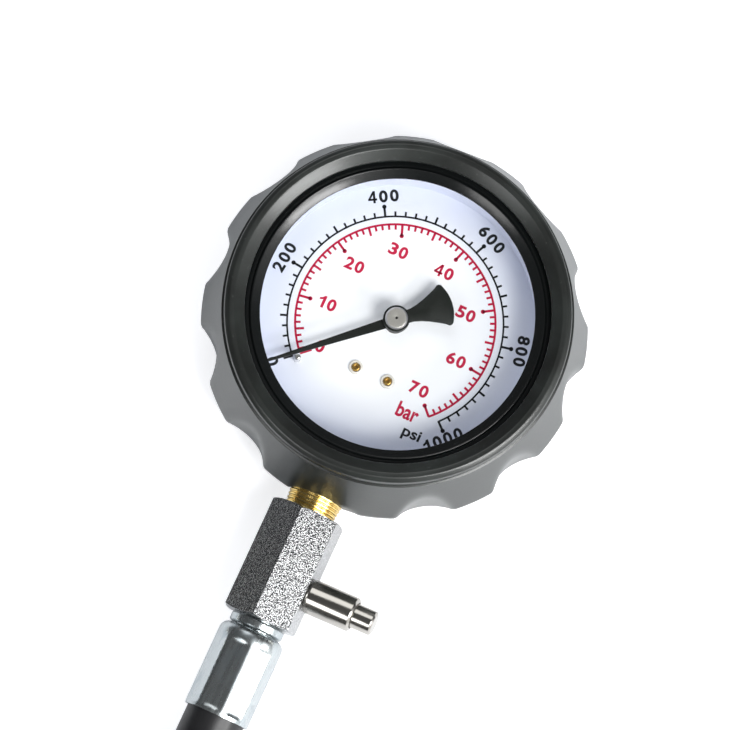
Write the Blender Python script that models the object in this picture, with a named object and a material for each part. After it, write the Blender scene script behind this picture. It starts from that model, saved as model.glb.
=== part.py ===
"""Compression tester gauge: a rubber-booted pressure gauge with a release valve and a hose.

Metres, +Z towards the viewer of the dial, -Y along the stem. The origin is the centre of the
case's back face, and the gauge lies on its boot with the dial up.
"""
import math

import bmesh
import bpy
from mathutils import Matrix, Vector

# Fits between pieces
seat_gap = 0.0003
running_gap = 0.0001

# How far a cutter reaches past what it cuts
cut_past = 0.004

# Case, dial and front
case_radius = 0.0405
case_wall = 0.0009
case_corner = 0.003
lens_proud = 0.0011
case_flange = 0.0016
back_panel_margin = 0.0095
back_panel_step = 0.0008
dial_spacer_height = 0.0020
dial_thickness = 0.0008
dial_edge_gap = 0.0006
dial_hole_radius = 0.003
spacer_wall = 0.0009
lens_thickness = 0.002
lens_above_dial = 0.0112
gasket_thickness = 0.0007
gasket_width = 0.0017
bezel_lip = 0.0027
bezel_face_rise = 0.0026
bezel_face_width = 0.0036
bezel_wall = 0.0009
bezel_skirt_drop = 0.005

# Rubber boot
boot_wall = 0.0097
boot_widest_height = 0.015
boot_band = 0.0024
boot_back_taper = 0.0042
boot_rear_drop = 0.0016
boot_rear_lip = 0.0065
boot_ring_wall = 0.0033
boot_ring_rise = 0.0034
boot_lip_overlap = 0.0018
boot_lip_step = 0.0012
lobe_count = 12
flute_depth = 0.0037
flute_radius = 0.0110
lobe_corner = 0.0018
boot_turn = 3.3
stem_recess_width = 0.0188
stem_recess_depth = 0.0010
stem_recess_rise = 0.0060

# Pointer
pointer_above_dial = 0.0039
pointer_thickness = 0.0005
pointer_edge_gap = 0.0025
pointer_root_half = 0.0013
pointer_tip_half = 0.00035
pointer_hub_radius = 0.0035
pointer_hub_height = 0.0011
tail_neck_half = 0.0018
tail_corner_reach = 0.0136
tail_corner_half = 0.0057
tail_end_reach = 0.0155
cap_radius = 0.0031
cap_height = 0.0028
cap_bevel = 0.0005
zero_angle = 132.3
stop_pin_radius = 0.0009
stop_pin_inset = 0.0079
stop_pin_above_pointer = 0.0013

# Movement
gear_module = 0.0003
pinion_teeth = 12
sector_circle_teeth = 96
sector_teeth = 14
sector_lead_teeth = 2
pressure_angle = 20.0
tooth_play = 0.00008
pinion_addendum = 1.0
sector_addendum = 0.6
tooth_root = 1.25
gear_thickness = 0.0012
gear_height = 0.0112
pinion_extra = 0.0005
sector_bearing = 236.3
sector_hub_radius = 0.0026
sector_rim = 0.0022
sector_arm = 0.0016
tail_length = 0.0055
tail_bearing = -61.5
tail_half_width = 0.0015
arbor_radius = 0.0008
pivot_radius = 0.0005
plate_thickness = 0.0012
bottom_plate_height = 0.0080
plate_spread = 0.0070
plate_left = -0.015
plate_right = 0.009
plate_top = 0.006
plate_bottom = -0.0205
plate_foot_half = 0.0078
plate_foot_bottom = -0.0247
plate_corner = 0.0015
pillar_radius = 0.0014
pillar_places = ((-0.0130, 0.0038), (0.0068, 0.0038), (0.0072, -0.0105), (-0.0127, -0.0185))
movement_screw_x = 0.0055
movement_screw_y = -0.0225
movement_screw_radius = 0.0010
dial_screw_x = 0.0047
dial_screw_y = -0.0157
dial_screw_radius = 0.0020
dial_screw_shank = 0.0008
dial_screw_head = 0.0009
dial_spacer_radius = 0.0020
hairspring_turns = 4
hairspring_inner = 0.0012
hairspring_outer = 0.0050
hairspring_band = 0.00018
hairspring_height = 0.0007
hairspring_level = 0.0136

# Pressure tube, its tip and the link
tube_radius = 0.029
tube_depth = 0.010
tube_breadth = 0.004
tube_wall = 0.0006
tube_height = 0.0115
tube_start = 244.0
tube_end = -35.0
tip_length = 0.0035
tip_arm_half = 0.0020
tip_pivot = (0.0180, -0.0126)
tip_travel = (0.0025, 0.0006)
link_height = 0.0099
link_thickness = 0.0010
link_half_width = 0.0012
link_pin_radius = 0.0006

# Socket and stem
stem_height = 0.012
stem_radius = 0.0068
stem_root_radius = 0.0058
stem_bore = 0.0020
stem_thread_length = 0.0117
socket_half_width = 0.0115
socket_low = 0.0030
socket_below_dial = 0.0010
socket_wall_gap = 0.0024
socket_inner = 0.0250
ledge_inner = 0.0190
socket_bevel = 0.0008
case_screw_gap = 0.00098
case_screw_radius = 0.0012
case_screw_depth = 0.0060
case_screw_head = 0.0022
case_screw_head_rise = 0.0010

# Release valve
valve_flats = 0.019
valve_gap = 0.0033
valve_length = 0.0324
valve_chamfer = 0.0010
valve_turn = 10.5
valve_bore = 0.0025
washer_thickness = 0.0010
release_drop = 0.0207
barrel_radius = 0.00485
barrel_length = 0.0135
barrel_spigot = 0.0036
barrel_spigot_depth = 0.0045
barrel_bore = 0.00375
barrel_shoulder = 0.0054
plunger_radius = 0.00345
plunger_proud = 0.0059
plunger_stem = 0.0011
plunger_skirt = 0.0118
poppet_radius = 0.0026
poppet_thickness = 0.0012
release_travel = 0.0025
seal_thickness = 0.0009
release_spring_wire = 0.00035
release_spring_turns = 6

# Hose fitting and hose
nipple_thread_radius = 0.0052
nipple_thread_length = 0.0065
nipple_neck_radius = 0.0077
nipple_neck_length = 0.0028
nipple_groove_radius = 0.0055
nipple_bore = 0.0022
nipple_head = 0.0008
ferrule_radius = 0.0092
ferrule_length = 0.0249
ferrule_lip = 0.0015
ferrule_shoulder = 0.0020
crimp_flats = 8
crimp_depth = 0.0005
crimp_start = 0.0045
crimp_end = 0.0239
crimp_turn = 14.0
hose_radius = 0.0082
hose_route = (
    (0.0, -0.1100, 0.0120), (0.0, -0.1250, 0.0119), (-0.0002, -0.1420, 0.0102),
    (-0.0012, -0.1620, 0.0074), (-0.0060, -0.1860, 0.0066), (-0.0205, -0.2120, 0.0066),
    (-0.0430, -0.2290, 0.0066), (-0.0720, -0.2360, 0.0066), (-0.1010, -0.2300, 0.0066),
    (-0.1240, -0.2125, 0.0066), (-0.1385, -0.1870, 0.0067), (-0.1438, -0.1620, 0.0072),
    (-0.1450, -0.1400, 0.0083), (-0.1450, -0.1220, 0.0088), (-0.1450, -0.1110, 0.0088),
)
hose_step = 0.022

# Quick coupler on the hose's far end
coupler_x = -0.1450
coupler_start = -0.1190
coupler_hex_flats = 0.017
coupler_hex_length = 0.0080
coupler_spigot = 0.0052
coupler_spigot_length = 0.0060
coupler_body_radius = 0.0076
coupler_body_length = 0.0277
coupler_collar_radius = 0.0090
coupler_collar_length = 0.0037
coupler_mouth = 0.0055
coupler_mouth_depth = 0.0160
coupler_web_bore = 0.0025
coupler_seal_thickness = 0.0016
coupler_seal_width = 0.0010
ball_count = 6
ball_radius = 0.0012
ball_back = 0.0055
ball_orbit = 0.00645
sleeve_radius = 0.0104
sleeve_length = 0.0199
sleeve_pocket = 0.0120
sleeve_pocket_wall = 0.0010
sleeve_travel = 0.0035
sleeve_groove_count = 4
sleeve_groove_depth = 0.0004
stop_ring_radius = 0.0086
stop_ring_thickness = 0.0010
stop_ring_back = 0.0018
coupler_spring_wire = 0.00042
coupler_spring_turns = 5

finishes = {
    "rubber": ((0.075, 0.085, 0.080), 0.62, 0.0),
    "black_paint": ((0.012, 0.013, 0.013), 0.22, 0.2),
    "steel_case": ((0.30, 0.31, 0.32), 0.35, 0.9),
    "clear_glass": ((0.92, 0.96, 0.97), 0.04, 0.0),
    "seal_rubber": ((0.03, 0.03, 0.03), 0.70, 0.0),
    "white_dial": ((0.86, 0.88, 0.92), 0.35, 0.0),
    "brass": ((0.78, 0.56, 0.20), 0.28, 1.0),
    "pointer_black": ((0.02, 0.022, 0.02), 0.40, 0.0),
    "nickel": ((0.62, 0.61, 0.57), 0.18, 1.0),
    "zinc": ((0.58, 0.60, 0.62), 0.34, 1.0),
    "spring_steel": ((0.45, 0.46, 0.48), 0.25, 1.0),
    "bronze": ((0.62, 0.42, 0.20), 0.30, 1.0),
    "copper": ((0.75, 0.40, 0.25), 0.32, 1.0),
    "hose_black": ((0.015, 0.015, 0.016), 0.45, 0.0),
}

# Worked-out places
panel_back = 0.0
top_plate_height = bottom_plate_height + plate_spread
dial_low = top_plate_height + plate_thickness + dial_spacer_height
dial_height = dial_low + dial_thickness
socket_high = dial_low - socket_below_dial
pointer_height = dial_height + pointer_above_dial
stop_pin_top = pointer_height + stop_pin_above_pointer
lens_height = dial_height + lens_above_dial
rim_back = back_panel_step
case_inner = case_radius - case_wall
back_panel_radius = case_radius - back_panel_margin
dial_radius = case_inner - dial_edge_gap
lens_top = lens_height + lens_thickness
case_rim_height = lens_top - lens_proud
gasket_height = lens_top + running_gap
bezel_low = gasket_height + gasket_thickness + seat_gap
lens_radius = case_inner - seat_gap
flange_radius = case_radius + case_flange
bezel_opening = case_inner - bezel_lip
bezel_inner_skirt = flange_radius + seat_gap
bezel_radius = bezel_inner_skirt + bezel_wall
bezel_crest = bezel_low + 0.5 * bezel_wall + bezel_face_rise
boot_lip_under = bezel_crest + seat_gap
boot_radius = bezel_radius + boot_wall
boot_back_radius = boot_radius - boot_back_taper
boot_rear_opening = case_radius - boot_rear_lip
boot_ring_radius = bezel_radius + boot_ring_wall
pointer_length = dial_radius - pointer_edge_gap
stop_pin_reach = pointer_length - stop_pin_inset
pinion_radius = gear_module * pinion_teeth / 2
sector_radius = gear_module * sector_circle_teeth / 2
gear_centres = pinion_radius + sector_radius
sector_place = (gear_centres * math.cos(math.radians(sector_bearing)),
                gear_centres * math.sin(math.radians(sector_bearing)))
socket_outer = case_inner - socket_wall_gap
valve_top = boot_radius + valve_gap
stem_reach = valve_top + stem_thread_length
valve_bottom = valve_top + valve_length
neck_end = valve_bottom + nipple_neck_length
ferrule_top = neck_end + seat_gap
release_place = valve_top + release_drop
ferrule_bore = hose_radius + seat_gap
coupler_height = sleeve_radius - boot_rear_drop
hose_seat = ferrule_lip + 2 * seat_gap + nipple_head
hose_start = -(ferrule_top + hose_seat)
hose_end = coupler_start + ferrule_length - hose_seat
case_screw_place = stem_radius + case_screw_radius + case_screw_gap
case_screw_seat = case_radius - 0.0004
tube_root_gap = math.degrees(seat_gap / tube_radius)


for old in list(bpy.data.objects):
    bpy.data.objects.remove(old, do_unlink=True)


def finish(name):
    """The material of that name, made once."""
    made = bpy.data.materials.get(name)
    if made:
        return made
    colour, roughness, metallic = finishes[name]
    made = bpy.data.materials.new(name)
    made.use_nodes = True
    shader = made.node_tree.nodes["Principled BSDF"]
    shader.inputs["Base Color"].default_value = (*colour, 1.0)
    shader.inputs["Roughness"].default_value = roughness
    shader.inputs["Metallic"].default_value = metallic
    return made


def node(name, bm, material, place=(0, 0, 0), turn=(0, 0, 0), parent=None, smooth=35):
    """An object from a bmesh, put where it belongs."""
    mesh = bpy.data.meshes.new(name)
    bm.to_mesh(mesh)
    bm.free()
    mesh.shade_smooth()
    mesh.set_sharp_from_angle(angle=math.radians(smooth))
    thing = bpy.data.objects.new(name, mesh)
    bpy.context.scene.collection.objects.link(thing)
    thing.location = place
    thing.rotation_euler = [math.radians(a) for a in turn]
    thing.parent = parent
    if material:
        mesh.materials.append(finish(material))
    return thing


def axis_empty(name, place, turn=(0, 0, 0)):
    """An empty on a joint's axis, its Z along the axis."""
    thing = bpy.data.objects.new(name, None)
    thing.location = place
    thing.rotation_euler = [math.radians(a) for a in turn]
    bpy.context.scene.collection.objects.link(thing)
    return thing


def boolean(thing, cutter, operation="DIFFERENCE"):
    """Cut, join or intersect with another object, which becomes a hidden guide."""
    cutter.hide_render = True
    cutter.display_type = "WIRE"
    change = thing.modifiers.new(operation.lower(), "BOOLEAN")
    change.operation = operation
    change.solver = "EXACT"
    change.object = cutter


def rounded(corners, segments=3):
    """A profile whose corners (a, b, fillet) become arcs."""
    points = []
    count = len(corners)
    for index, corner in enumerate(corners):
        here = Vector(corner[:2])
        fillet = corner[2] if len(corner) > 2 else 0
        if not fillet:
            points.append(tuple(here))
            continue
        before = (Vector(corners[index - 1][:2]) - here).normalized()
        after = (Vector(corners[(index + 1) % count][:2]) - here).normalized()
        half = before.angle(after) / 2
        reach = fillet / math.tan(half)
        centre = here + (before + after).normalized() * fillet / math.sin(half)
        start = here + before * reach - centre
        end = here + after * reach - centre
        sweep = start.angle_signed(end)
        for step in range(segments + 1):
            turn = -sweep * step / segments
            spot = Vector((start.x * math.cos(turn) - start.y * math.sin(turn),
                           start.x * math.sin(turn) + start.y * math.cos(turn)))
            points.append(tuple(centre + spot))
    return points


def turned(profile, steps):
    """A profile of (radius, height) turned once round Z. It closes on itself, or runs axis to axis."""
    bm = bmesh.new()
    verts = [bm.verts.new((radius, 0, height)) for radius, height in profile]
    edges = [bm.edges.new(pair) for pair in zip(verts, verts[1:])]
    if profile[0][0] > 0 or profile[-1][0] > 0:
        edges.append(bm.edges.new((verts[-1], verts[0])))
    bmesh.ops.spin(bm, geom=verts + edges, cent=(0, 0, 0), axis=(0, 0, 1),
                   angle=2 * math.pi, steps=steps, use_merge=True)
    bmesh.ops.remove_doubles(bm, verts=bm.verts, dist=1e-6)
    bmesh.ops.recalc_face_normals(bm, faces=bm.faces)
    return bm


def rod(radius, low, high, steps=16):
    """A plain round bar along Z."""
    return turned([(0, low), (radius, low), (radius, high), (0, high)], steps)


def tube(inner, outer, low, high, steps=24):
    """A plain round ring along Z."""
    return turned([(inner, low), (outer, low), (outer, high), (inner, high)], steps)


def plate(outline, low, high):
    """An outline in XY with a thickness along Z."""
    bm = bmesh.new()
    face = bm.faces.new([bm.verts.new((x, y, low)) for x, y in outline])
    grown = bmesh.ops.extrude_face_region(bm, geom=[face])
    lifted = [item for item in grown["geom"] if isinstance(item, bmesh.types.BMVert)]
    bmesh.ops.translate(bm, verts=lifted, vec=(0, 0, high - low))
    bmesh.ops.recalc_face_normals(bm, faces=bm.faces)
    return bm


def block(left, right, near, far, low, high, bevel=0.0, segments=2):
    """A box between its corners, its edges rounded."""
    bm = bmesh.new()
    bmesh.ops.create_cube(bm, size=1.0)
    bmesh.ops.scale(bm, verts=bm.verts, vec=(right - left, far - near, high - low))
    bmesh.ops.translate(bm, verts=bm.verts,
                        vec=((left + right) / 2, (near + far) / 2, (low + high) / 2))
    if bevel:
        bmesh.ops.bevel(bm, geom=list(bm.edges), offset=bevel, segments=segments,
                        profile=0.5, affect="EDGES")
    return bm


def swept(path, section, closed_ends=True):
    """A section, given by a function of the place along the path, joined ring to ring."""
    bm = bmesh.new()
    rings = [[bm.verts.new(spot) for spot in section(index)] for index in range(path)]
    for ring, following in zip(rings, rings[1:]):
        for k in range(len(ring)):
            after = (k + 1) % len(ring)
            bm.faces.new((ring[k], ring[after], following[after], following[k]))
    if closed_ends:
        bm.faces.new(list(reversed(rings[0])))
        bm.faces.new(rings[-1])
    bmesh.ops.recalc_face_normals(bm, faces=bm.faces)
    return bm


def coil(mean_radius, wire, low, high, turns, per_turn=10, sides=5):
    """A helical wire along Z between two heights, its ends inside them."""
    count = int(turns * per_turn) + 1
    rise = high - low - 2 * wire

    def section(index):
        share = index / (count - 1)
        angle = 2 * math.pi * turns * share
        outward = Vector((math.cos(angle), math.sin(angle), 0))
        centre = outward * mean_radius + Vector((0, 0, low + wire + rise * share))
        return [centre + outward * wire * math.cos(a) + Vector((0, 0, wire * math.sin(a)))
                for a in (2 * math.pi * k / sides for k in range(sides))]

    return swept(count, section)


def teeth(count, first, last, addendum, phase):
    """Outline points of involute teeth first to last of a full circle of count, tooth 0 at phase degrees."""
    slope = math.radians(pressure_angle)
    pitch = gear_module * count / 2
    base = pitch * math.cos(slope)
    tip = pitch + addendum * gear_module
    root = pitch - tooth_root * gear_module
    half_tooth = math.pi / (2 * count) - tooth_play / (2 * pitch)

    def half_angle(radius):
        roll = math.acos(min(1.0, base / radius))
        return half_tooth + math.tan(slope) - slope - (math.tan(roll) - roll)

    start = max(base, root)
    flank = [(start + (tip - start) * k / 3, half_angle(start + (tip - start) * k / 3)) for k in range(4)]
    if root < base:
        flank.insert(0, (root, half_angle(base)))
    points = []
    for tooth in range(first, last + 1):
        middle = math.radians(phase) + 2 * math.pi * tooth / count
        for radius, half in flank:
            points.append((radius * math.cos(middle - half), radius * math.sin(middle - half)))
        for radius, half in reversed(flank):
            points.append((radius * math.cos(middle + half), radius * math.sin(middle + half)))
    return points


def arc(radius, start, end, steps, centre=(0, 0)):
    """Points on an arc, in degrees."""
    return [(centre[0] + radius * math.cos(math.radians(start + (end - start) * k / steps)),
             centre[1] + radius * math.sin(math.radians(start + (end - start) * k / steps)))
            for k in range(steps + 1)]


def bar_outline(start, end, half_width, steps=8):
    """A bar with round ends between two points."""
    bearing = math.degrees(math.atan2(end[1] - start[1], end[0] - start[0]))
    return (arc(half_width, bearing + 90, bearing + 270, steps, start)
            + arc(half_width, bearing - 90, bearing + 90, steps, end))


def drill(thing, radius, place, low, high, steps=16):
    """A round hole along Z at (x, y) of the object's own frame."""
    cutter = node(f"{thing.name}_drill", rod(radius, low, high, steps), None,
                  place=(place[0], place[1], 0), parent=thing.parent)
    boolean(thing, cutter)


def build_case():
    """The stamped case cup, open to the front, with a hole for the stem."""
    high = case_rim_height
    profile = rounded([
        (0, panel_back), (back_panel_radius, panel_back),
        (back_panel_radius + 1.5 * back_panel_step, rim_back), (case_radius, rim_back, case_corner),
        (case_radius, high - case_wall), (flange_radius, high - case_wall), (flange_radius, high),
        (case_inner, high), (case_inner, rim_back + case_wall, case_corner - case_wall),
        (back_panel_radius + case_wall, rim_back + case_wall), (back_panel_radius - back_panel_step, case_wall),
        (0, case_wall)], 2)
    case = node("case_cup", turned(profile, 44), "steel_case")
    hole = node("case_stem_hole", rod(stem_radius + seat_gap, socket_outer - 0.002, case_radius + 0.004, 24),
                None, place=(0, 0, stem_height), turn=(90, 0, 0))
    boolean(case, hole)
    for side in (-1, 1):
        screw_hole = node("case_screw_hole", rod(case_screw_radius + running_gap, socket_outer,
                                                 case_radius + 0.004, 12),
                          None, place=(side * case_screw_place, 0, stem_height), turn=(90, 0, 0))
        boolean(case, screw_hole)
    deep = socket_outer - case_screw_depth
    top = case_screw_seat + case_screw_head_rise
    pieces = [(turned([(0, deep), (case_screw_radius, deep), (case_screw_radius, case_screw_seat),
                    (case_screw_head, case_screw_seat), (case_screw_head, top - 0.0004),
                    (case_screw_head * 0.8, top), (0, top)], 16), (side * case_screw_place, 0, stem_height))
           for side in (-1, 1)]
    copies("case_screw", pieces, "spring_steel", turn=(90, 0, 0))


def build_dial():
    """Dial plate, its screws, the spacer ring, lens, gasket and bezel."""
    dial = node("dial_plate", tube(dial_hole_radius, dial_radius, dial_low, dial_height, 48),
                "white_dial")
    for side in (-1, 1):
        drill(dial, dial_screw_shank + running_gap, (side * dial_screw_x, dial_screw_y),
              dial_low - 0.001, dial_height + 0.001, 12)
    pin_half = pointer_tip_half + (pointer_root_half - pointer_tip_half) * (
        1 - (stop_pin_reach - pointer_hub_radius) / (pointer_length - pointer_hub_radius))
    behind = math.degrees(math.asin((stop_pin_radius + pin_half + running_gap) / stop_pin_reach))
    pin_angle = math.radians(90 + zero_angle + behind)
    pin_place = (stop_pin_reach * math.cos(pin_angle), stop_pin_reach * math.sin(pin_angle))
    drill(dial, stop_pin_radius * 0.7 + running_gap, pin_place, dial_low - 0.001, dial_height + 0.001, 12)
    pin = turned(rounded([(0, dial_low + 0.0001), (stop_pin_radius * 0.7, dial_low + 0.0001),
                          (stop_pin_radius * 0.7, dial_height + running_gap),
                          (stop_pin_radius, dial_height + running_gap),
                          (stop_pin_radius, stop_pin_top, 0.0003), (0, stop_pin_top)], 2), 16)
    node("stop_pin", pin, "brass", place=(*pin_place, 0))

    spacer_outer = case_inner - seat_gap
    spacer = tube(spacer_outer - spacer_wall, spacer_outer, dial_height + seat_gap, lens_height - seat_gap, 44)
    node("spacer_ring", spacer, "black_paint")
    lens = turned([(0, lens_height), (lens_radius, lens_height), (lens_radius, lens_top), (0, lens_top)], 44)
    node("lens", lens, "clear_glass")
    gasket = tube(lens_radius - gasket_width, lens_radius, gasket_height, gasket_height + gasket_thickness, 44)
    node("lens_gasket", gasket, "seal_rubber")

    skirt_end = case_rim_height - bezel_skirt_drop
    face_end = bezel_opening + bezel_face_width
    profile = rounded([
        (bezel_opening, bezel_low), (bezel_opening, bezel_low + 0.5 * bezel_wall),
        (face_end, bezel_crest, 0.0006), (face_end + 0.0012, bezel_crest, 0.0008),
        (bezel_radius, bezel_crest - 0.0016, 0.0010), (bezel_radius, skirt_end),
        (bezel_inner_skirt, skirt_end), (bezel_inner_skirt, bezel_crest - 0.0016 - 0.7 * bezel_wall),
        (face_end + 0.0008, bezel_crest - 1.2 * bezel_wall), (bezel_opening + 0.0022, bezel_low)], 2)
    node("bezel_ring", turned(profile, 44), "black_paint")


def build_boot():
    """The rubber boot: a turned body trimmed to its lobed outline, with the stem's exit."""
    crest = boot_lip_under + boot_ring_rise
    lip_inner = bezel_opening + bezel_face_width + 0.0008
    ring = boot_ring_radius
    profile = rounded([
        (lip_inner, boot_lip_under), (lip_inner, boot_lip_under + 0.0008),
        (lip_inner + boot_lip_step, boot_lip_under + 0.0010),
        (lip_inner + boot_lip_step + 0.0003, boot_lip_under + 0.0020),
        (lip_inner + boot_lip_overlap + 0.0004, crest, 0.0012), (ring - 0.0003, crest - 0.0002, 0.0018),
        (ring, boot_lip_under), (ring - 0.0001, boot_lip_under - 0.0005),
        (ring + 0.0006, boot_lip_under - 0.0007),
        (boot_radius, boot_widest_height, 0.0014), (boot_radius, boot_widest_height - boot_band, 0.0014),
        (boot_back_radius, 0.0, 0.0016), (boot_back_radius - 0.0018, -boot_rear_drop),
        (boot_rear_opening, -boot_rear_drop), (boot_rear_opening, rim_back - seat_gap),
        (case_radius - 0.5 * case_corner, rim_back - seat_gap),
        (case_radius + seat_gap, rim_back + 0.6 * case_corner),
        (case_radius + seat_gap, case_rim_height - bezel_skirt_drop - seat_gap),
        (bezel_radius + seat_gap, case_rim_height - bezel_skirt_drop - seat_gap),
        (bezel_radius + seat_gap, bezel_crest - 0.0014),
        (bezel_radius - 0.0006, boot_lip_under)], 2)
    boot = node("boot", turned(profile, 54), "rubber")

    orbit = boot_radius - flute_depth + flute_radius
    corner_orbit = boot_radius - lobe_corner
    corner_reach = flute_radius + lobe_corner
    corner_angle = math.acos((orbit ** 2 + corner_orbit ** 2 - corner_reach ** 2) / (2 * orbit * corner_orbit))
    outline = []
    pitch = 2 * math.pi / lobe_count
    first = math.radians(90 + boot_turn)
    for k in range(lobe_count):
        middle = first + k * pitch
        flute = Vector((orbit * math.cos(middle), orbit * math.sin(middle)))
        is_stem_side = 2 * k == lobe_count
        if is_stem_side:
            continue
        corners = [Vector((corner_orbit * math.cos(middle + side * corner_angle),
                           corner_orbit * math.sin(middle + side * corner_angle))) for side in (-1, 1)]
        outward = [math.degrees(math.atan2(c.y, c.x)) for c in corners]
        to_flute = [math.degrees(math.atan2(*(flute - c).yx)) for c in corners]
        sweep_in = (to_flute[0] - outward[0]) % 360
        outline += arc(lobe_corner, outward[0], outward[0] + sweep_in, 3, corners[0])
        enter = math.degrees(math.atan2(*(corners[0] - flute).yx))
        leave = math.degrees(math.atan2(*(corners[1] - flute).yx))
        turn = (enter - leave) % 360
        outline += arc(flute_radius, enter, enter - turn, 7, flute)[1:-1]
        sweep_out = (outward[1] - to_flute[1]) % 360
        outline += arc(lobe_corner, to_flute[1], to_flute[1] + sweep_out, 3, corners[1])
        wide = pitch if 2 * (k + 1) != lobe_count else 2 * pitch
        gap = math.degrees(wide - 2 * corner_angle)
        start = math.degrees(middle + corner_angle)
        outline += arc(boot_radius + 0.0001, start, start + gap, 3 if wide == pitch else 9)[1:-1]
    guide = node("boot_lobes", plate(outline, -cut_past, crest + cut_past), None)
    boolean(boot, guide, "INTERSECT")

    hole = node("boot_stem_hole", rod(stem_radius + 0.0007, case_radius - 0.002, boot_radius + 0.004, 24), None,
                place=(0, 0, stem_height), turn=(90, 0, 0))
    boolean(boot, hole)
    half = stem_recess_width / 2
    recess = block(-half, half, -boot_radius - cut_past, -boot_radius + stem_recess_depth, -cut_past,
                   boot_widest_height + stem_recess_rise)
    boolean(boot, node("boot_recess", recess, None, turn=(0, 0, boot_turn)))
    for side in (-1, 1):
        pocket = rod(case_screw_head + seat_gap, case_radius - 0.001,
                     case_screw_seat + case_screw_head_rise + 2 * seat_gap, 16)
        boolean(boot, node("boot_screw_pocket", pocket, None, place=(side * case_screw_place, 0, stem_height),
                           turn=(90, 0, 0)))


def build_pointer():
    """Pointer and cap at the zero mark, on the arbor's axis."""
    axis = axis_empty("pointer_axis", (0, 0, 0), (0, 0, zero_angle))
    low = pointer_height
    high = low + pointer_thickness
    neck = math.sqrt(pointer_hub_radius ** 2 - pointer_root_half ** 2)
    hub_side = math.degrees(math.asin(pointer_root_half / pointer_hub_radius))
    tail_side = math.degrees(math.asin(tail_neck_half / pointer_hub_radius))
    outline = [(-pointer_root_half, neck)] + arc(pointer_tip_half, 180, 0, 4, (0, pointer_length - pointer_tip_half))
    outline += [(pointer_root_half, neck)]
    outline += arc(pointer_hub_radius, 90 - hub_side, -90 + tail_side, 8)[1:]
    end_radius = (tail_corner_half ** 2 + (tail_end_reach - tail_corner_reach) ** 2) / (
        2 * (tail_end_reach - tail_corner_reach))
    end_half = math.degrees(math.asin(tail_corner_half / end_radius)) - 6
    corner = 0.0006
    outline += arc(corner, 20, -70, 3, (tail_corner_half - corner, -tail_corner_reach + corner))
    outline += arc(end_radius, -90 + end_half, -90 - end_half, 6, (0, -tail_end_reach + end_radius))
    outline += arc(corner, -110, -200, 3, (-tail_corner_half + corner, -tail_corner_reach + corner))
    outline += arc(pointer_hub_radius, -90 - tail_side, -270 + hub_side, 8)[:-1]
    pointer = node("pointer", plate(outline, low, high), "pointer_black", parent=axis)
    boss = node("pointer_boss", rod(pointer_hub_radius, low + 0.0001, low + pointer_hub_height, 32), None,
                parent=axis)
    boolean(pointer, boss, "UNION")
    under = node("pointer_under", rod(2.6 * arbor_radius, low - 0.0012, low + 0.0002, 20), None, parent=axis)
    boolean(pointer, under, "UNION")
    drill(pointer, arbor_radius + 0.5 * running_gap, (0, 0), low - 0.003, high + 0.003)
    cap_low = low + pointer_hub_height + 0.5 * running_gap
    cap = turned(rounded([(0, cap_low + cap_height - 0.0009), (0.0004, cap_low + cap_height - 0.0009),
                          (0.0004, cap_low + cap_height), (cap_radius - cap_bevel, cap_low + cap_height),
                          (cap_radius, cap_low + cap_height - cap_bevel), (cap_radius, cap_low, 0.0003),
                          (arbor_radius + running_gap, cap_low),
                          (arbor_radius + running_gap, cap_low + 0.0014), (0, cap_low + 0.0014)], 2), 24)
    node("pointer_cap", cap, "nickel", parent=axis)

    top = cap_low + 0.0012
    outline = teeth(pinion_teeth, 0, pinion_teeth - 1, pinion_addendum,
                    sector_bearing - zero_angle + 180.0 / pinion_teeth)
    arbor = node("pinion_arbor", plate(outline, gear_height - pinion_extra, gear_height + gear_thickness
                                       + pinion_extra), "brass", parent=axis)
    shaft = turned([(0, bottom_plate_height - 0.0004), (pivot_radius, bottom_plate_height - 0.0004),
                    (pivot_radius, bottom_plate_height + plate_thickness + running_gap),
                    (arbor_radius, bottom_plate_height + plate_thickness + running_gap),
                    (arbor_radius, top), (0, top)], 16)
    boolean(arbor, node("arbor_shaft", shaft, None, parent=axis), "UNION")


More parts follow.
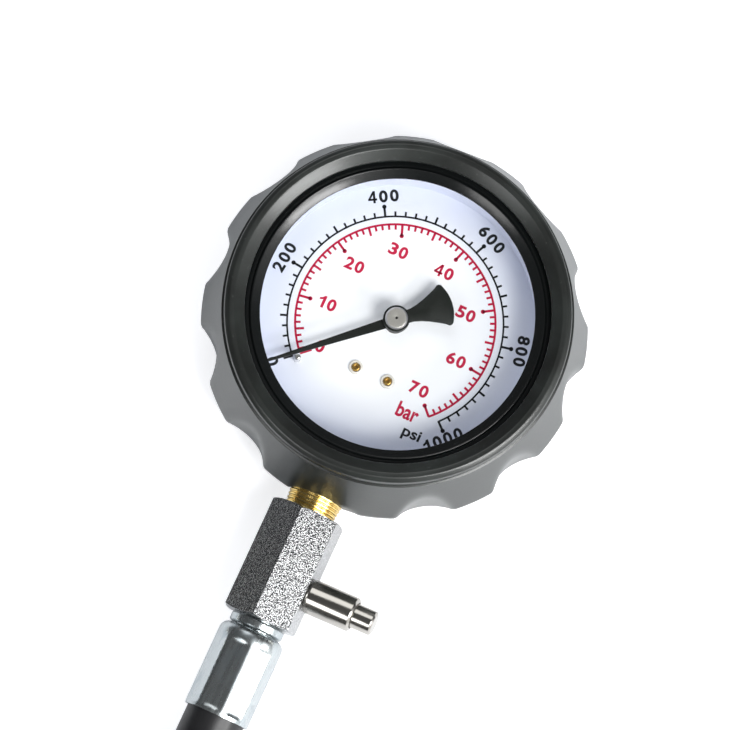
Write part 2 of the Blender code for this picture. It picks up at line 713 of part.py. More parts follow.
def build_sector():
    """Sector gear, its arbor, the link bar and the pins."""
    axis = axis_empty("sector_axis", (*sector_place, 0))
    mesh_bearing = sector_bearing - 180
    pitch = 360.0 / sector_circle_teeth
    last = sector_lead_teeth
    first = last - sector_teeth + 1
    rim = teeth(sector_circle_teeth, first, last, sector_addendum, mesh_bearing)
    root = sector_radius - tooth_root * gear_module
    low_side = mesh_bearing + (first - 0.7) * pitch
    high_side = mesh_bearing + (last + 0.7) * pitch
    outline = ([(root * math.cos(math.radians(low_side)), root * math.sin(math.radians(low_side)))] + rim
               + [(root * math.cos(math.radians(high_side)), root * math.sin(math.radians(high_side)))]
               + arc(sector_hub_radius * 0.9, high_side + 60, low_side + 300, 8))
    low = gear_height
    high = low + gear_thickness
    sector = node("sector_gear", plate(outline, low, high), "brass", parent=axis)
    inner = root - sector_rim
    side = math.degrees(sector_arm / inner)
    window = (arc(inner, low_side + side, high_side - side, 8)
              + arc(sector_hub_radius + sector_arm, high_side - 3 * side, low_side + 3 * side, 3))
    boolean(sector, node("sector_window", plate(window, low - 0.001, high + 0.001), None, parent=axis))
    boolean(sector, node("sector_hub", rod(sector_hub_radius, low - 0.0004, high + 0.0004, 24), None,
                         parent=axis), "UNION")
    tail_end = (tail_length * math.cos(math.radians(tail_bearing)),
                tail_length * math.sin(math.radians(tail_bearing)))
    tail = bar_outline((0, 0), tail_end, tail_half_width)
    boolean(sector, node("sector_tail", plate(tail, low + 0.00005, high - 0.00005), None, parent=axis), "UNION")
    drill(sector, arbor_radius + 0.5 * running_gap, (0, 0), low - 0.002, high + 0.002)
    drill(sector, link_pin_radius + 0.5 * running_gap, tail_end, low - 0.002, high + 0.002, 12)

    shaft = turned([(0, bottom_plate_height - 0.0004), (pivot_radius, bottom_plate_height - 0.0004),
                    (pivot_radius, bottom_plate_height + plate_thickness + running_gap),
                    (arbor_radius, bottom_plate_height + plate_thickness + running_gap),
                    (arbor_radius, top_plate_height - running_gap), (pivot_radius, top_plate_height - running_gap),
                    (pivot_radius, top_plate_height + plate_thickness + 0.0003),
                    (0, top_plate_height + plate_thickness + 0.0003)], 16)
    node("sector_arbor", shaft, "spring_steel", parent=axis)
    pin_low = link_height - 0.0001
    pin = turned([(0, pin_low), (link_pin_radius, pin_low), (link_pin_radius, high + 0.0002),
                  (link_pin_radius * 1.7, high + 0.0002), (link_pin_radius * 1.7, high + 0.0007),
                  (0, high + 0.0007)], 12)
    node("tail_pin", pin, "spring_steel", place=(*tail_end, 0), parent=axis)

    tail_world = (sector_place[0] + tail_end[0], sector_place[1] + tail_end[1])
    link_axis = axis_empty("link_axis", (*tail_world, 0))
    far = (tip_pivot[0] - tail_world[0], tip_pivot[1] - tail_world[1])
    link = node("link_bar", plate(bar_outline((0, 0), far, link_half_width), link_height,
                                  link_height + link_thickness), "brass", parent=link_axis)
    drill(link, link_pin_radius + running_gap, (0, 0), link_height - 0.001, link_height + 0.003, 12)
    drill(link, link_pin_radius + 0.5 * running_gap, far, link_height - 0.001, link_height + 0.003, 12)
    high = gear_height + gear_thickness
    tip_pin = turned([(0, link_height - 0.0005), (link_pin_radius * 1.7, link_height - 0.0005),
                      (link_pin_radius * 1.7, link_height - 0.0001), (link_pin_radius, link_height - 0.0001),
                      (link_pin_radius, high + 0.0003), (0, high + 0.0003)], 12)
    node("tip_pin", tip_pin, "spring_steel", place=(*far, 0), parent=link_axis)


def build_movement():
    """The two plates, pillars, screws, dial spacers and the hairspring."""
    foot = plate_foot_half
    corner = plate_corner
    full = rounded([(plate_left, plate_top, corner), (plate_left, plate_bottom, corner),
                    (-foot, plate_bottom), (-foot, plate_foot_bottom, corner), (foot, plate_foot_bottom, corner),
                    (foot, plate_bottom), (plate_right, plate_bottom, corner), (plate_right, plate_top, corner)])
    short = rounded([(plate_left, plate_top, corner), (plate_left, plate_bottom, corner),
                     (plate_right, plate_bottom, corner), (plate_right, plate_top, corner)])
    bottom = node("movement_bottom_plate", plate(full, bottom_plate_height,
                                                 bottom_plate_height + plate_thickness), "brass")
    top = node("movement_top_plate", plate(short, top_plate_height, top_plate_height + plate_thickness), "brass")
    for each, low in ((bottom, bottom_plate_height), (top, top_plate_height)):
        high = low + plate_thickness + 0.001
        drill(each, pivot_radius + running_gap, sector_place, low - 0.001, high, 12)
        for place in pillar_places:
            drill(each, 0.5 * pillar_radius + running_gap, place, low - 0.001, high, 8)
    drill(bottom, pivot_radius + running_gap, (0, 0), bottom_plate_height - 0.001,
          bottom_plate_height + 0.003, 12)
    drill(top, arbor_radius + running_gap, (0, 0), top_plate_height - 0.001, top_plate_height + 0.003, 12)
    for side in (-1, 1):
        drill(bottom, movement_screw_radius + running_gap, (side * movement_screw_x, movement_screw_y),
              bottom_plate_height - 0.001, bottom_plate_height + 0.003, 12)
        drill(top, dial_screw_shank + running_gap, (side * dial_screw_x, dial_screw_y),
              top_plate_height - 0.001, top_plate_height + 0.003, 12)

    pieces = []
    end = 0.5 * pillar_radius
    for place in pillar_places:
        pieces.append((turned([(0, bottom_plate_height + 0.0001), (end, bottom_plate_height + 0.0001),
                            (end, bottom_plate_height + plate_thickness + running_gap),
                            (pillar_radius, bottom_plate_height + plate_thickness + running_gap),
                            (pillar_radius, top_plate_height - running_gap), (end, top_plate_height - running_gap),
                            (end, top_plate_height + plate_thickness - 0.0001),
                            (0, top_plate_height + plate_thickness - 0.0001)], 8), (*place, 0)))
    copies("movement_pillar", pieces, "brass")

    screw_low = bottom_plate_height - 0.0030
    seat = bottom_plate_height + plate_thickness + running_gap
    head = 1.9 * movement_screw_radius
    pieces = [(turned([(0, screw_low), (movement_screw_radius, screw_low), (movement_screw_radius, seat),
                    (head, seat), (head, seat + 0.0008), (0, seat + 0.0008)], 12),
            (side * movement_screw_x, movement_screw_y, 0)) for side in (-1, 1)]
    copies("movement_screw", pieces, "spring_steel")

    low = top_plate_height + plate_thickness + running_gap
    high = dial_low - running_gap
    pieces = [(tube(dial_screw_shank + running_gap, dial_spacer_radius, low, high, 16),
            (side * dial_screw_x, dial_screw_y, 0)) for side in (-1, 1)]
    copies("dial_spacer", pieces, "brass")
    seat = dial_height + running_gap
    top_face = seat + dial_screw_head
    pieces = [(turned(rounded([(0, top_plate_height + 0.0001), (dial_screw_shank, top_plate_height + 0.0001),
                            (dial_screw_shank, seat), (dial_screw_radius, seat),
                            (dial_screw_radius, top_face, 0.0003), (0.35 * dial_screw_radius, top_face),
                            (0.35 * dial_screw_radius, top_face - 0.0004), (0, top_face - 0.0004)], 1), 16),
            (side * dial_screw_x, dial_screw_y, 0)) for side in (-1, 1)]
    copies("dial_screw", pieces, "brass")

    per_turn = 14
    count = hairspring_turns * per_turn + 1
    grow = hairspring_outer - hairspring_inner

    def section(index):
        share = index / (count - 1)
        angle = 2 * math.pi * hairspring_turns * share
        outward = Vector((math.cos(angle), math.sin(angle), 0))
        near = outward * (hairspring_inner + grow * share)
        far = outward * (hairspring_inner + grow * share + hairspring_band)
        up = Vector((0, 0, hairspring_height))
        base = Vector((0, 0, hairspring_level))
        return [near + base, far + base, far + base + up, near + base + up]

    node("hairspring", swept(count, section), "bronze")
    stud = block(hairspring_outer + hairspring_band + running_gap, hairspring_outer + 0.0014, -0.0006, 0.0006,
                 hairspring_level, top_plate_height - 0.0001)
    node("hairspring_stud", stud, "brass")


def copies(name, pieces, material, turn=(0, 0, 0), parent=None):
    """Like pieces, each an object of its own at its own place."""
    for number, (bm, place) in enumerate(pieces, 1):
        node(f"{name}_{number}", bm, material, place=place, turn=turn, parent=parent)


def build_tube():
    """The curved pressure tube, open at the socket, and its tip block."""
    steps = 28
    sides = 8

    def oval(angle, shrink):
        outward = Vector((math.cos(angle), math.sin(angle), 0))
        ring = []
        for k in range(sides):
            a = 2 * math.pi * k / sides
            across = (0.5 * tube_breadth - shrink) * math.copysign(abs(math.cos(a)) ** 0.6, math.cos(a))
            up = (0.5 * tube_depth - shrink) * math.copysign(abs(math.sin(a)) ** 0.6, math.sin(a))
            ring.append(outward * (tube_radius + across) + Vector((0, 0, tube_height + up)))
        return ring

    bm = bmesh.new()
    start = math.radians(tube_start)
    end = math.radians(tube_end)
    inner_end = end + tube_wall / tube_radius * 2
    outer = [[bm.verts.new(v) for v in oval(start + (end - start) * k / steps, 0)] for k in range(steps + 1)]
    inner = [[bm.verts.new(v) for v in oval(start + (inner_end - start) * k / steps, tube_wall)]
             for k in range(steps + 1)]
    for rings in (outer, inner):
        for ring, following in zip(rings, rings[1:]):
            for k in range(sides):
                after = (k + 1) % sides
                bm.faces.new((ring[k], ring[after], following[after], following[k]))
        bm.faces.new(rings[-1])
    for k in range(sides):
        after = (k + 1) % sides
        bm.faces.new((outer[0][k], outer[0][after], inner[0][after], inner[0][k]))
    bmesh.ops.recalc_face_normals(bm, faces=bm.faces)
    node("bourdon_tube", bm, "bronze", smooth=50)

    gap = tube_root_gap
    cap_end = tube_end - math.degrees(tip_length / tube_radius)
    half = 0.5 * tube_breadth
    block_outline = (arc(tube_radius + half, tube_end - gap, cap_end, 3)
                     + arc(tube_radius - half, cap_end, tube_end - gap, 3))
    tip = node("tube_tip_block", plate(block_outline, tube_height - 0.5 * tube_depth,
                                       tube_height + 0.5 * tube_depth), "brass")
    root_angle = math.radians((tube_end + cap_end) / 2)
    root = (tube_radius * math.cos(root_angle), tube_radius * math.sin(root_angle))
    bend = ((tube_radius - half - 0.0035) * math.cos(root_angle), (tube_radius - half - 0.0035)
            * math.sin(root_angle))
    low = gear_height
    high = low + gear_thickness
    arm = node("tip_arm", plate(bar_outline(root, bend, 0.0013), low, high), None)
    boolean(tip, arm, "UNION")
    finger = bar_outline(bend, tip_pivot, tip_arm_half)
    boolean(tip, node("tip_finger", plate(finger, low + 0.00005, high - 0.00005), None), "UNION")
    slot_end = (tip_pivot[0] + tip_travel[0], tip_pivot[1] + tip_travel[1])
    slot = bar_outline(tip_pivot, slot_end, link_pin_radius + 0.00045)
    boolean(tip, node("tip_slot", plate(slot, low - 0.001, high + 0.001), None))


def build_socket():
    """The brass socket block with the threaded stem, and the case screws beside the stem."""
    half = socket_half_width
    socket = node("socket_stem", block(-half, half, -socket_outer, -socket_inner, socket_low, socket_high,
                                       socket_bevel), "brass")
    ledge = block(-plate_foot_half, plate_foot_half, -socket_inner - 0.001, -ledge_inner,
                  socket_low + 0.0005, bottom_plate_height - running_gap, 0.0004, 1)
    boolean(socket, node("socket_ledge", ledge, None), "UNION")
    shoulder = dial_radius + seat_gap
    stem = turned(rounded([(0, socket_outer - 0.004), (stem_root_radius, socket_outer - 0.004),
                           (stem_root_radius, shoulder), (stem_radius, shoulder),
                           (stem_radius, stem_reach, 0.0006), (0, stem_reach)], 1), 28)
    boolean(socket, node("socket_spigot", stem, None, place=(0, 0, stem_height), turn=(90, 0, 0)), "UNION")
    wide = 0.5 * tube_breadth + tube_wall
    lug_end = tube_start + 14
    lug = plate(arc(tube_radius + wide, tube_start + tube_root_gap, lug_end, 4)
                + arc(tube_radius - wide, lug_end, tube_start + tube_root_gap, 4),
                tube_height - 0.5 * tube_depth - tube_wall, tube_height + 0.5 * tube_depth + 0.5 * tube_wall)
    boolean(socket, node("socket_lug", lug, None), "UNION")
    bore = rod(stem_bore, socket_inner + 0.0012, stem_reach + 0.002, 16)
    boolean(socket, node("socket_bore", bore, None, place=(0, 0, stem_height), turn=(90, 0, 0)))
    side = rod(0.45 * stem_bore, 0, half + 0.003, 12)
    boolean(socket, node("socket_side_bore", side, None, place=(0, -socket_inner - 0.0016, stem_height),
                         turn=(0, -90, 0)))
    for each in (-1, 1):
        drill(socket, movement_screw_radius + running_gap, (each * movement_screw_x, movement_screw_y),
              bottom_plate_height - 0.0036, bottom_plate_height + 0.001, 12)
        hole = rod(case_screw_radius + running_gap, socket_outer - case_screw_depth - 0.0008,
                   socket_outer + 0.002, 12)
        boolean(socket, node("socket_screw_hole", hole, None, place=(each * case_screw_place, 0, stem_height),
                             turn=(90, 0, 0)))


def along_stem(name, bm, material, parent=None):
    """A piece whose own Z runs down the stem."""
    return node(name, bm, material, place=(0, 0, stem_height), turn=(90, 0, 0), parent=parent)


def build_valve_group():
    """Valve body, washer and the sprung release valve."""
    corner = valve_flats / math.sqrt(3)
    # A flat of the bar faces the release valve, which leans up by the valve's turn.
    outline = arc(corner, 30 + valve_turn, 330 + valve_turn, 5)
    chamfer = valve_chamfer
    body = along_stem("valve_body", plate(outline, valve_top, valve_bottom), "zinc")
    trim = turned([(0, valve_top - 0.0002), (valve_flats / 2 - 0.2 * chamfer, valve_top - 0.0002),
                   (corner + chamfer, valve_top + chamfer), (corner + chamfer, valve_bottom - chamfer),
                   (valve_flats / 2 - 0.2 * chamfer, valve_bottom + 0.0002), (0, valve_bottom + 0.0002)], 36)
    boolean(body, along_stem("valve_trim", trim, None), "INTERSECT")
    thread = stem_radius + seat_gap
    nipple = nipple_thread_radius + seat_gap
    thread_end = stem_reach + seat_gap + washer_thickness + seat_gap
    nipple_start = valve_bottom - nipple_thread_length - seat_gap
    bores = turned([(0, valve_top - 0.002), (thread, valve_top - 0.002), (thread, thread_end),
                    (valve_bore, thread_end), (valve_bore, nipple_start), (nipple, nipple_start),
                    (nipple, valve_bottom + 0.002), (0, valve_bottom + 0.002)], 24)
    boolean(body, along_stem("valve_bores", bores, None))
    washer = tube(valve_bore, stem_radius - 0.0002, stem_reach + seat_gap, stem_reach + seat_gap
                  + washer_thickness, 24)
    along_stem("stem_washer", washer, "copper")

    centre = (0, -release_place, stem_height)
    turn = (0, 90 - valve_turn, 0)
    face = valve_flats / 2
    spigot_end = face - barrel_spigot_depth
    chamber = node("valve_chamber", rod(barrel_spigot + seat_gap, -poppet_radius * 0.5, face + 0.003, 20), None,
                   place=centre, turn=turn)
    boolean(body, chamber)

    end = face + seat_gap + barrel_length
    shoulder = spigot_end + barrel_shoulder
    barrel = turned(rounded([
        (plunger_stem + seat_gap, spigot_end), (barrel_spigot, spigot_end), (barrel_spigot, face + seat_gap),
        (barrel_radius, face + seat_gap), (barrel_radius, end - 0.0004), (barrel_radius - 0.0005, end),
        (barrel_bore, end), (barrel_bore, shoulder), (plunger_stem + seat_gap, shoulder)]), 24)
    node("release_barrel", barrel, "nickel", place=centre, turn=turn)

    axis = axis_empty("release_axis", centre, turn)
    head_top = end + plunger_proud
    head_low = head_top - plunger_skirt
    poppet_top = spigot_end - seal_thickness - 2 * seat_gap
    poppet_low = poppet_top - poppet_thickness
    plunger = turned(rounded([
        (0, poppet_low), (poppet_radius, poppet_low), (poppet_radius, poppet_top), (plunger_stem, poppet_top),
        (plunger_stem, head_low), (plunger_radius, head_low), (plunger_radius, head_top, 0.0006),
        (0, head_top)], 2), 20)
    node("release_plunger", plunger, "nickel", parent=axis)
    seal = tube(plunger_stem + running_gap, poppet_radius, poppet_top + seat_gap,
                poppet_top + seat_gap + seal_thickness, 20)
    node("release_seal", seal, "seal_rubber", parent=axis)
    mean = (plunger_stem + barrel_bore) / 2
    spring = coil(mean, release_spring_wire, shoulder + 0.0001, head_low - 0.0001, release_spring_turns)
    node("release_spring", spring, "spring_steel", place=centre, turn=turn)


def crimped(length):
    """A crimped ferrule along Z: lip and shoulder at the low end, flats pressed in round its middle."""
    outer = ferrule_radius
    inner = ferrule_bore
    lip = nipple_groove_radius + seat_gap
    steps = crimp_flats * 4
    bm = turned(rounded([
        (lip, 0), (outer - 0.0002, 0, ferrule_shoulder * 0.8),
        (outer, crimp_start), (outer, crimp_start + 0.0012), (outer, crimp_end - 0.0012), (outer, crimp_end),
        (outer, length), (inner, length), (inner, ferrule_lip), (lip, ferrule_lip)]), steps)
    apothem = outer - crimp_depth
    for vert in bm.verts:
        radius = math.hypot(vert.co.x, vert.co.y)
        if crimp_start + 0.0006 < vert.co.z < crimp_end - 0.0006 and radius > outer - 0.0003:
            pitch = 2 * math.pi / crimp_flats
            offset = (math.atan2(vert.co.y, vert.co.x) + pitch / 2) % pitch - pitch / 2
            pressed = min(radius, apothem / math.cos(offset))
            vert.co.x *= pressed / radius
            vert.co.y *= pressed / radius
    bmesh.ops.rotate(bm, cent=(0, 0, 0), matrix=Matrix.Rotation(math.radians(crimp_turn), 3, "Z"), verts=bm.verts)
    return bm


def build_hose_fitting():
    """Nipple below the valve body and the crimped ferrule."""
    start = valve_bottom - nipple_thread_length
    groove_end = ferrule_top + ferrule_lip + seat_gap
    low = valve_bottom + seat_gap
    nipple = turned(rounded([
        (nipple_bore, start), (nipple_thread_radius, start), (nipple_thread_radius, low),
        (nipple_neck_radius, low, 0.0004), (nipple_neck_radius, neck_end),
        (nipple_groove_radius, neck_end), (nipple_groove_radius, groove_end),
        (hose_radius - 0.0006, groove_end), (hose_radius - 0.0006, groove_end + nipple_head),
        (nipple_bore, groove_end + nipple_head)], 2), 24)
    along_stem("hose_nipple", nipple, "zinc")
    node("crimp_ferrule", crimped(ferrule_length), "zinc", place=(0, -ferrule_top, stem_height), turn=(90, 0, 0))


def smooth_route(points, spacing):
    """Evenly spaced points on a smooth curve through the route's own points."""
    spots = [Vector(p) for p in points]
    spots = [2 * spots[0] - spots[1]] + spots + [2 * spots[-1] - spots[-2]]
    fine = []
    for a, b, c, d in zip(spots, spots[1:], spots[2:], spots[3:]):
        for k in range(20):
            t = k / 20
            fine.append(0.5 * ((2 * b) + (c - a) * t + (2 * a - 5 * b + 4 * c - d) * t ** 2
                               + (3 * b - a - 3 * c + d) * t ** 3))
    fine.append(spots[-2])
    lengths = [0.0]
    for a, b in zip(fine, fine[1:]):
        lengths.append(lengths[-1] + (b - a).length)
    count = max(2, round(lengths[-1] / spacing))
    even = []
    for k in range(count + 1):
        wanted = lengths[-1] * k / count
        index = min(max(1, next((i for i, v in enumerate(lengths) if v >= wanted), len(fine) - 1)), len(fine) - 1)
        share = (wanted - lengths[index - 1]) / max(1e-9, lengths[index] - lengths[index - 1])
        even.append(fine[index - 1].lerp(fine[index], min(1.0, share)))
    return even


def build_hose():
    """The pressure hose, from inside the ferrule to the far fitting."""
    curve = bpy.data.curves.new("hose", "CURVE")
    curve.dimensions = "3D"
    curve.bevel_depth = hose_radius
    curve.bevel_resolution = 4
    curve.use_fill_caps = True
    route = ((0, hose_start, stem_height), *hose_route, (coupler_x, hose_end, coupler_height))
    spots = smooth_route(route, hose_step)
    line = curve.splines.new("POLY")
    line.points.add(len(spots) - 1)
    for point, spot in zip(line.points, spots):
        point.co = (*spot, 1.0)
    hose = bpy.data.objects.new("hose", curve)
    curve.materials.append(finish("hose_black"))
    bpy.context.scene.collection.objects.link(hose)


def build_coupler():
    """End ferrule and quick coupler, its own Z along +Y from the hose to the mouth."""
    place = (coupler_x, coupler_start, coupler_height)
    turn = (-90, 0, 0)

    def lies(name, bm, material, parent=None):
        if parent:
            return node(name, bm, material, parent=parent)
        return node(name, bm, material, place=place, turn=turn)

    ferrule = crimped(ferrule_length)
    for vert in ferrule.verts:
        vert.co.z = ferrule_length - vert.co.z
    bmesh.ops.reverse_faces(ferrule, faces=ferrule.faces)
    lies("end_ferrule", ferrule, "zinc")

    groove_low = ferrule_length - ferrule_lip - seat_gap
    hex_low = ferrule_length + seat_gap
    hex_high = hex_low + coupler_hex_length
    spigot_end = hex_high + coupler_spigot_length
    stub = turned(rounded([
        (coupler_web_bore, groove_low - nipple_head), (hose_radius - 0.0006, groove_low - nipple_head),
        (hose_radius - 0.0006, groove_low), (nipple_groove_radius, groove_low),
        (nipple_groove_radius, hex_high - 0.001), (coupler_spigot, hex_high - 0.001),
        (coupler_spigot, spigot_end), (coupler_web_bore, spigot_end)], 2), 20)
    tail = lies("coupler_tail", stub, "nickel")
    corner = coupler_hex_flats / math.sqrt(3)
    nut = plate(arc(corner, 0, 300, 5), hex_low, hex_high)
    nut_guide = lies("coupler_hex", nut, None)
    nut_bore = lies("coupler_hex_bore", rod(coupler_web_bore + 0.0001, hex_low - 0.001, hex_high + 0.001, 24), None)
    boolean(nut_guide, nut_bore)
    boolean(tail, nut_guide, "UNION")

    low = hex_high + seat_gap
    high = low + coupler_body_length
    mouth_floor = high - coupler_mouth_depth
    collar_end = low + coupler_collar_length
    socket_end = spigot_end + seat_gap
    groove = high - stop_ring_back
    groove_depth = 0.0006
    body = lies("coupler_body", turned(rounded([
        (coupler_spigot + seat_gap, low), (coupler_collar_radius, low, 0.0004),
        (coupler_collar_radius, collar_end), (coupler_body_radius, collar_end),
        (coupler_body_radius, groove - stop_ring_thickness - running_gap),
        (coupler_body_radius - groove_depth, groove - stop_ring_thickness - running_gap),
        (coupler_body_radius - groove_depth, groove + running_gap), (coupler_body_radius, groove + running_gap),
        (coupler_body_radius, high), (coupler_mouth + 0.0005, high), (coupler_mouth, high - 0.0006),
        (coupler_mouth, mouth_floor), (coupler_web_bore, mouth_floor), (coupler_web_bore, socket_end),
        (coupler_spigot + seat_gap, socket_end)], 1), 24), "nickel")
    ball_level = high - ball_back
    pieces = []
    for k in range(ball_count):
        bearing = 360 * k / ball_count
        around = math.radians(bearing)
        hole = node("ball_hole", rod(ball_radius + running_gap, coupler_mouth - 0.001,
                                     coupler_body_radius + 0.001, 8), None,
                    place=(0, 0, ball_level), turn=(0, 90, bearing))
        hole.parent = axis_place("coupler_frame", place, turn)
        boolean(body, hole)
        ball = bmesh.new()
        bmesh.ops.create_uvsphere(ball, u_segments=8, v_segments=5, radius=ball_radius)
        pieces.append((ball, (ball_orbit * math.cos(around), ball_orbit * math.sin(around), ball_level)))
    copies("coupler_ball", pieces, "spring_steel", parent=axis_place("coupler_frame", place, turn))
    seal = tube(coupler_mouth - seat_gap - coupler_seal_width, coupler_mouth - seat_gap,
                mouth_floor + seat_gap, mouth_floor + seat_gap + coupler_seal_thickness, 20)
    lies("coupler_seal", seal, "seal_rubber")
    ring_inner = coupler_body_radius - groove_depth + running_gap
    lies("coupler_stop_ring", tube(ring_inner, stop_ring_radius, groove - stop_ring_thickness, groove, 28),
         "spring_steel")

    sleeve_high = groove - stop_ring_thickness - running_gap
    sleeve_low = sleeve_high - sleeve_length
    pocket_end = sleeve_low + sleeve_pocket
    wall = sleeve_radius - sleeve_pocket_wall
    corners = [(coupler_body_radius + seat_gap, sleeve_high), (coupler_body_radius + seat_gap, pocket_end),
               (wall, pocket_end), (wall, sleeve_low), (sleeve_radius - 0.0004, sleeve_low),
               (sleeve_radius, sleeve_low + 0.0004)]
    groove_pitch = (sleeve_length - 0.005) / sleeve_groove_count
    for k in range(sleeve_groove_count):
        middle = sleeve_low + 0.0025 + (k + 0.5) * groove_pitch
        quarter = groove_pitch / 4
        corners += [(sleeve_radius, middle - quarter), (sleeve_radius - sleeve_groove_depth, middle - 0.5 * quarter),
                    (sleeve_radius - sleeve_groove_depth, middle + 0.5 * quarter), (sleeve_radius, middle + quarter)]
    corners += [(sleeve_radius, sleeve_high - 0.0008), (sleeve_radius - 0.0008, sleeve_high)]
    sleeve_axis = axis_empty("sleeve_axis", place, turn)
    lies("coupler_sleeve", turned(corners, 24), "nickel", parent=sleeve_axis)
    mean = (coupler_body_radius + wall) / 2
    spring = coil(mean, coupler_spring_wire, collar_end + running_gap, pocket_end - running_gap,
                  coupler_spring_turns, 12)
    lies("coupler_spring", spring, "spring_steel")


def axis_place(name, place, turn):
    """The empty of that name, made once."""
    return bpy.data.objects.get(name) or axis_empty(name, place, turn)


build_case()
build_dial()
build_boot()
build_pointer()
build_sector()
build_movement()
build_tube()
build_socket()
build_valve_group()
build_hose_fitting()
build_hose()
build_coupler()
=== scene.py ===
import math
import bpy
from mathutils import Matrix, Vector


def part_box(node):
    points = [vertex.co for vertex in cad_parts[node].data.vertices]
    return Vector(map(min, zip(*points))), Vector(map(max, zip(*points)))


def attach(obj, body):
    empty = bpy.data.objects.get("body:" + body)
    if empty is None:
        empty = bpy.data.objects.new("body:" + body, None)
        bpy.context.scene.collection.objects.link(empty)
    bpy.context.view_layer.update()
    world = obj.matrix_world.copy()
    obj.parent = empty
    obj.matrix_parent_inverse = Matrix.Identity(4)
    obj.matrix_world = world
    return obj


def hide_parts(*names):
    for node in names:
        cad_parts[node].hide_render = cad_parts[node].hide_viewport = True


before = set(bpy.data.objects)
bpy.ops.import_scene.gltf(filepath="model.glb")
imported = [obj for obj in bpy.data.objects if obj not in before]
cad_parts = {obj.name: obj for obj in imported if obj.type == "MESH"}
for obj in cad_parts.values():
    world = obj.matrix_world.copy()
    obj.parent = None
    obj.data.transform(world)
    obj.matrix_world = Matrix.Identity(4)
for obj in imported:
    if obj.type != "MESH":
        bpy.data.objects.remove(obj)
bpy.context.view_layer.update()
mm = 0.001


# camera

cameraSettings = {
    "lens": 163.17,
    "place": (27.4, -151.84, 906.58),
    "right": (0.9101, 0.4130, 0.0333),
    "down": (0.4130, -0.8977, -0.1533),
    "forward": (-0.0335, 0.1533, -0.9876),
}


def addCamera():
    data = bpy.data.cameras.new("photoCamera")
    data.lens = cameraSettings["lens"]
    data.sensor_width = 36
    camera = bpy.data.objects.new("photoCamera", data)
    bpy.context.scene.collection.objects.link(camera)
    right = Vector(cameraSettings["right"]).normalized()
    back = -Vector(cameraSettings["forward"]).normalized()
    up = back.cross(right).normalized()
    right = up.cross(back)
    turn = Matrix((right, up, back)).transposed().to_4x4()
    camera.matrix_world = Matrix.Translation(Vector(cameraSettings["place"]) * mm) @ turn
    bpy.context.scene.camera = camera


addCamera()
print("camera placed")


# hose

hoseSettings = {
    "radius": 8.2,
    "length": 360.0,
    "spacing": 12.0,
    "start": (0.0, -94.7, 12.0),
    "end": (-145.0, -97.0, 8.8),
    "route": (
        (0.0, -110.0, 12.0), (0.0, -125.0, 11.9), (-0.2, -142.0, 10.2), (-1.2, -162.0, 7.4),
        (-6.0, -186.0, 6.6), (-20.5, -212.0, 6.6), (-43.0, -229.0, 6.6), (-72.0, -236.0, 6.6),
        (-101.0, -230.0, 6.6), (-124.0, -212.5, 6.6), (-138.5, -187.0, 6.7), (-143.8, -162.0, 7.2),
        (-145.0, -140.0, 8.3), (-145.0, -122.0, 8.8), (-145.0, -111.0, 8.8),
    ),
}


def evenRoute(points, spacing):
    spots = [Vector(p) * mm for p in points]
    spots = [2 * spots[0] - spots[1]] + spots + [2 * spots[-1] - spots[-2]]
    fine = []
    for a, b, c, d in zip(spots, spots[1:], spots[2:], spots[3:]):
        for k in range(20):
            t = k / 20
            fine.append(0.5 * (2 * b + (c - a) * t + (2 * a - 5 * b + 4 * c - d) * t ** 2
                               + (3 * b - a - 3 * c + d) * t ** 3))
    fine.append(spots[-2])
    lengths = [0.0]
    for a, b in zip(fine, fine[1:]):
        lengths.append(lengths[-1] + (b - a).length)
    count = round(lengths[-1] / (spacing * mm))
    even = []
    for k in range(count + 1):
        wanted = lengths[-1] * k / count
        index = max(1, next((i for i, v in enumerate(lengths) if v >= wanted), len(fine) - 1))
        share = (wanted - lengths[index - 1]) / max(1e-9, lengths[index] - lengths[index - 1])
        even.append(fine[index - 1].lerp(fine[index], min(1.0, share)))
    return even, lengths[-1]


def addHose():
    route = (hoseSettings["start"], *hoseSettings["route"], hoseSettings["end"])
    spots, length = evenRoute(route, hoseSettings["spacing"])
    curve = bpy.data.curves.new("pressureHose", "CURVE")
    curve.dimensions = "3D"
    curve.bevel_depth = 1.0  # the points carry the radius, which keeps the curve's box true
    curve.bevel_resolution = 14
    curve.resolution_u = 6
    curve.use_fill_caps = True
    line = curve.splines.new("BEZIER")
    line.bezier_points.add(len(spots) - 1)
    for point, spot in zip(line.bezier_points, spots):
        point.co = spot
        point.radius = hoseSettings["radius"] * mm
        point.handle_left_type = "AUTO"
        point.handle_right_type = "AUTO"
    hose = bpy.data.objects.new("pressureHose", curve)
    bpy.context.scene.collection.objects.link(hose)
    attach(hose, "gauge")
    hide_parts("hose")
    return hose, length


pressureHose, hoseLength = addHose()
print("hose laid,", round(hoseLength / mm), "mm long")


# shader tools

class Signal:  # a socket that takes part in sums
    def __init__(self, sheet, socket):
        self.sheet = sheet
        self.socket = socket

    def maths(self, operation, other=0.0, swapped=False):
        first, second = (other, self) if swapped else (self, other)
        return self.sheet.node("ShaderNodeMath", {"operation": operation}, {0: first, 1: second})

    def __add__(self, other):
        return self.maths("ADD", other)

    def __sub__(self, other):
        return self.maths("SUBTRACT", other)

    def __mul__(self, other):
        return self.maths("MULTIPLY", other)

    def __truediv__(self, other):
        return self.maths("DIVIDE", other)

    def __pow__(self, other):
        return self.maths("POWER", other)

    def __rsub__(self, other):
        return self.maths("SUBTRACT", other, True)

    def __rtruediv__(self, other):
        return self.maths("DIVIDE", other, True)

    __radd__ = __add__
    __rmul__ = __mul__


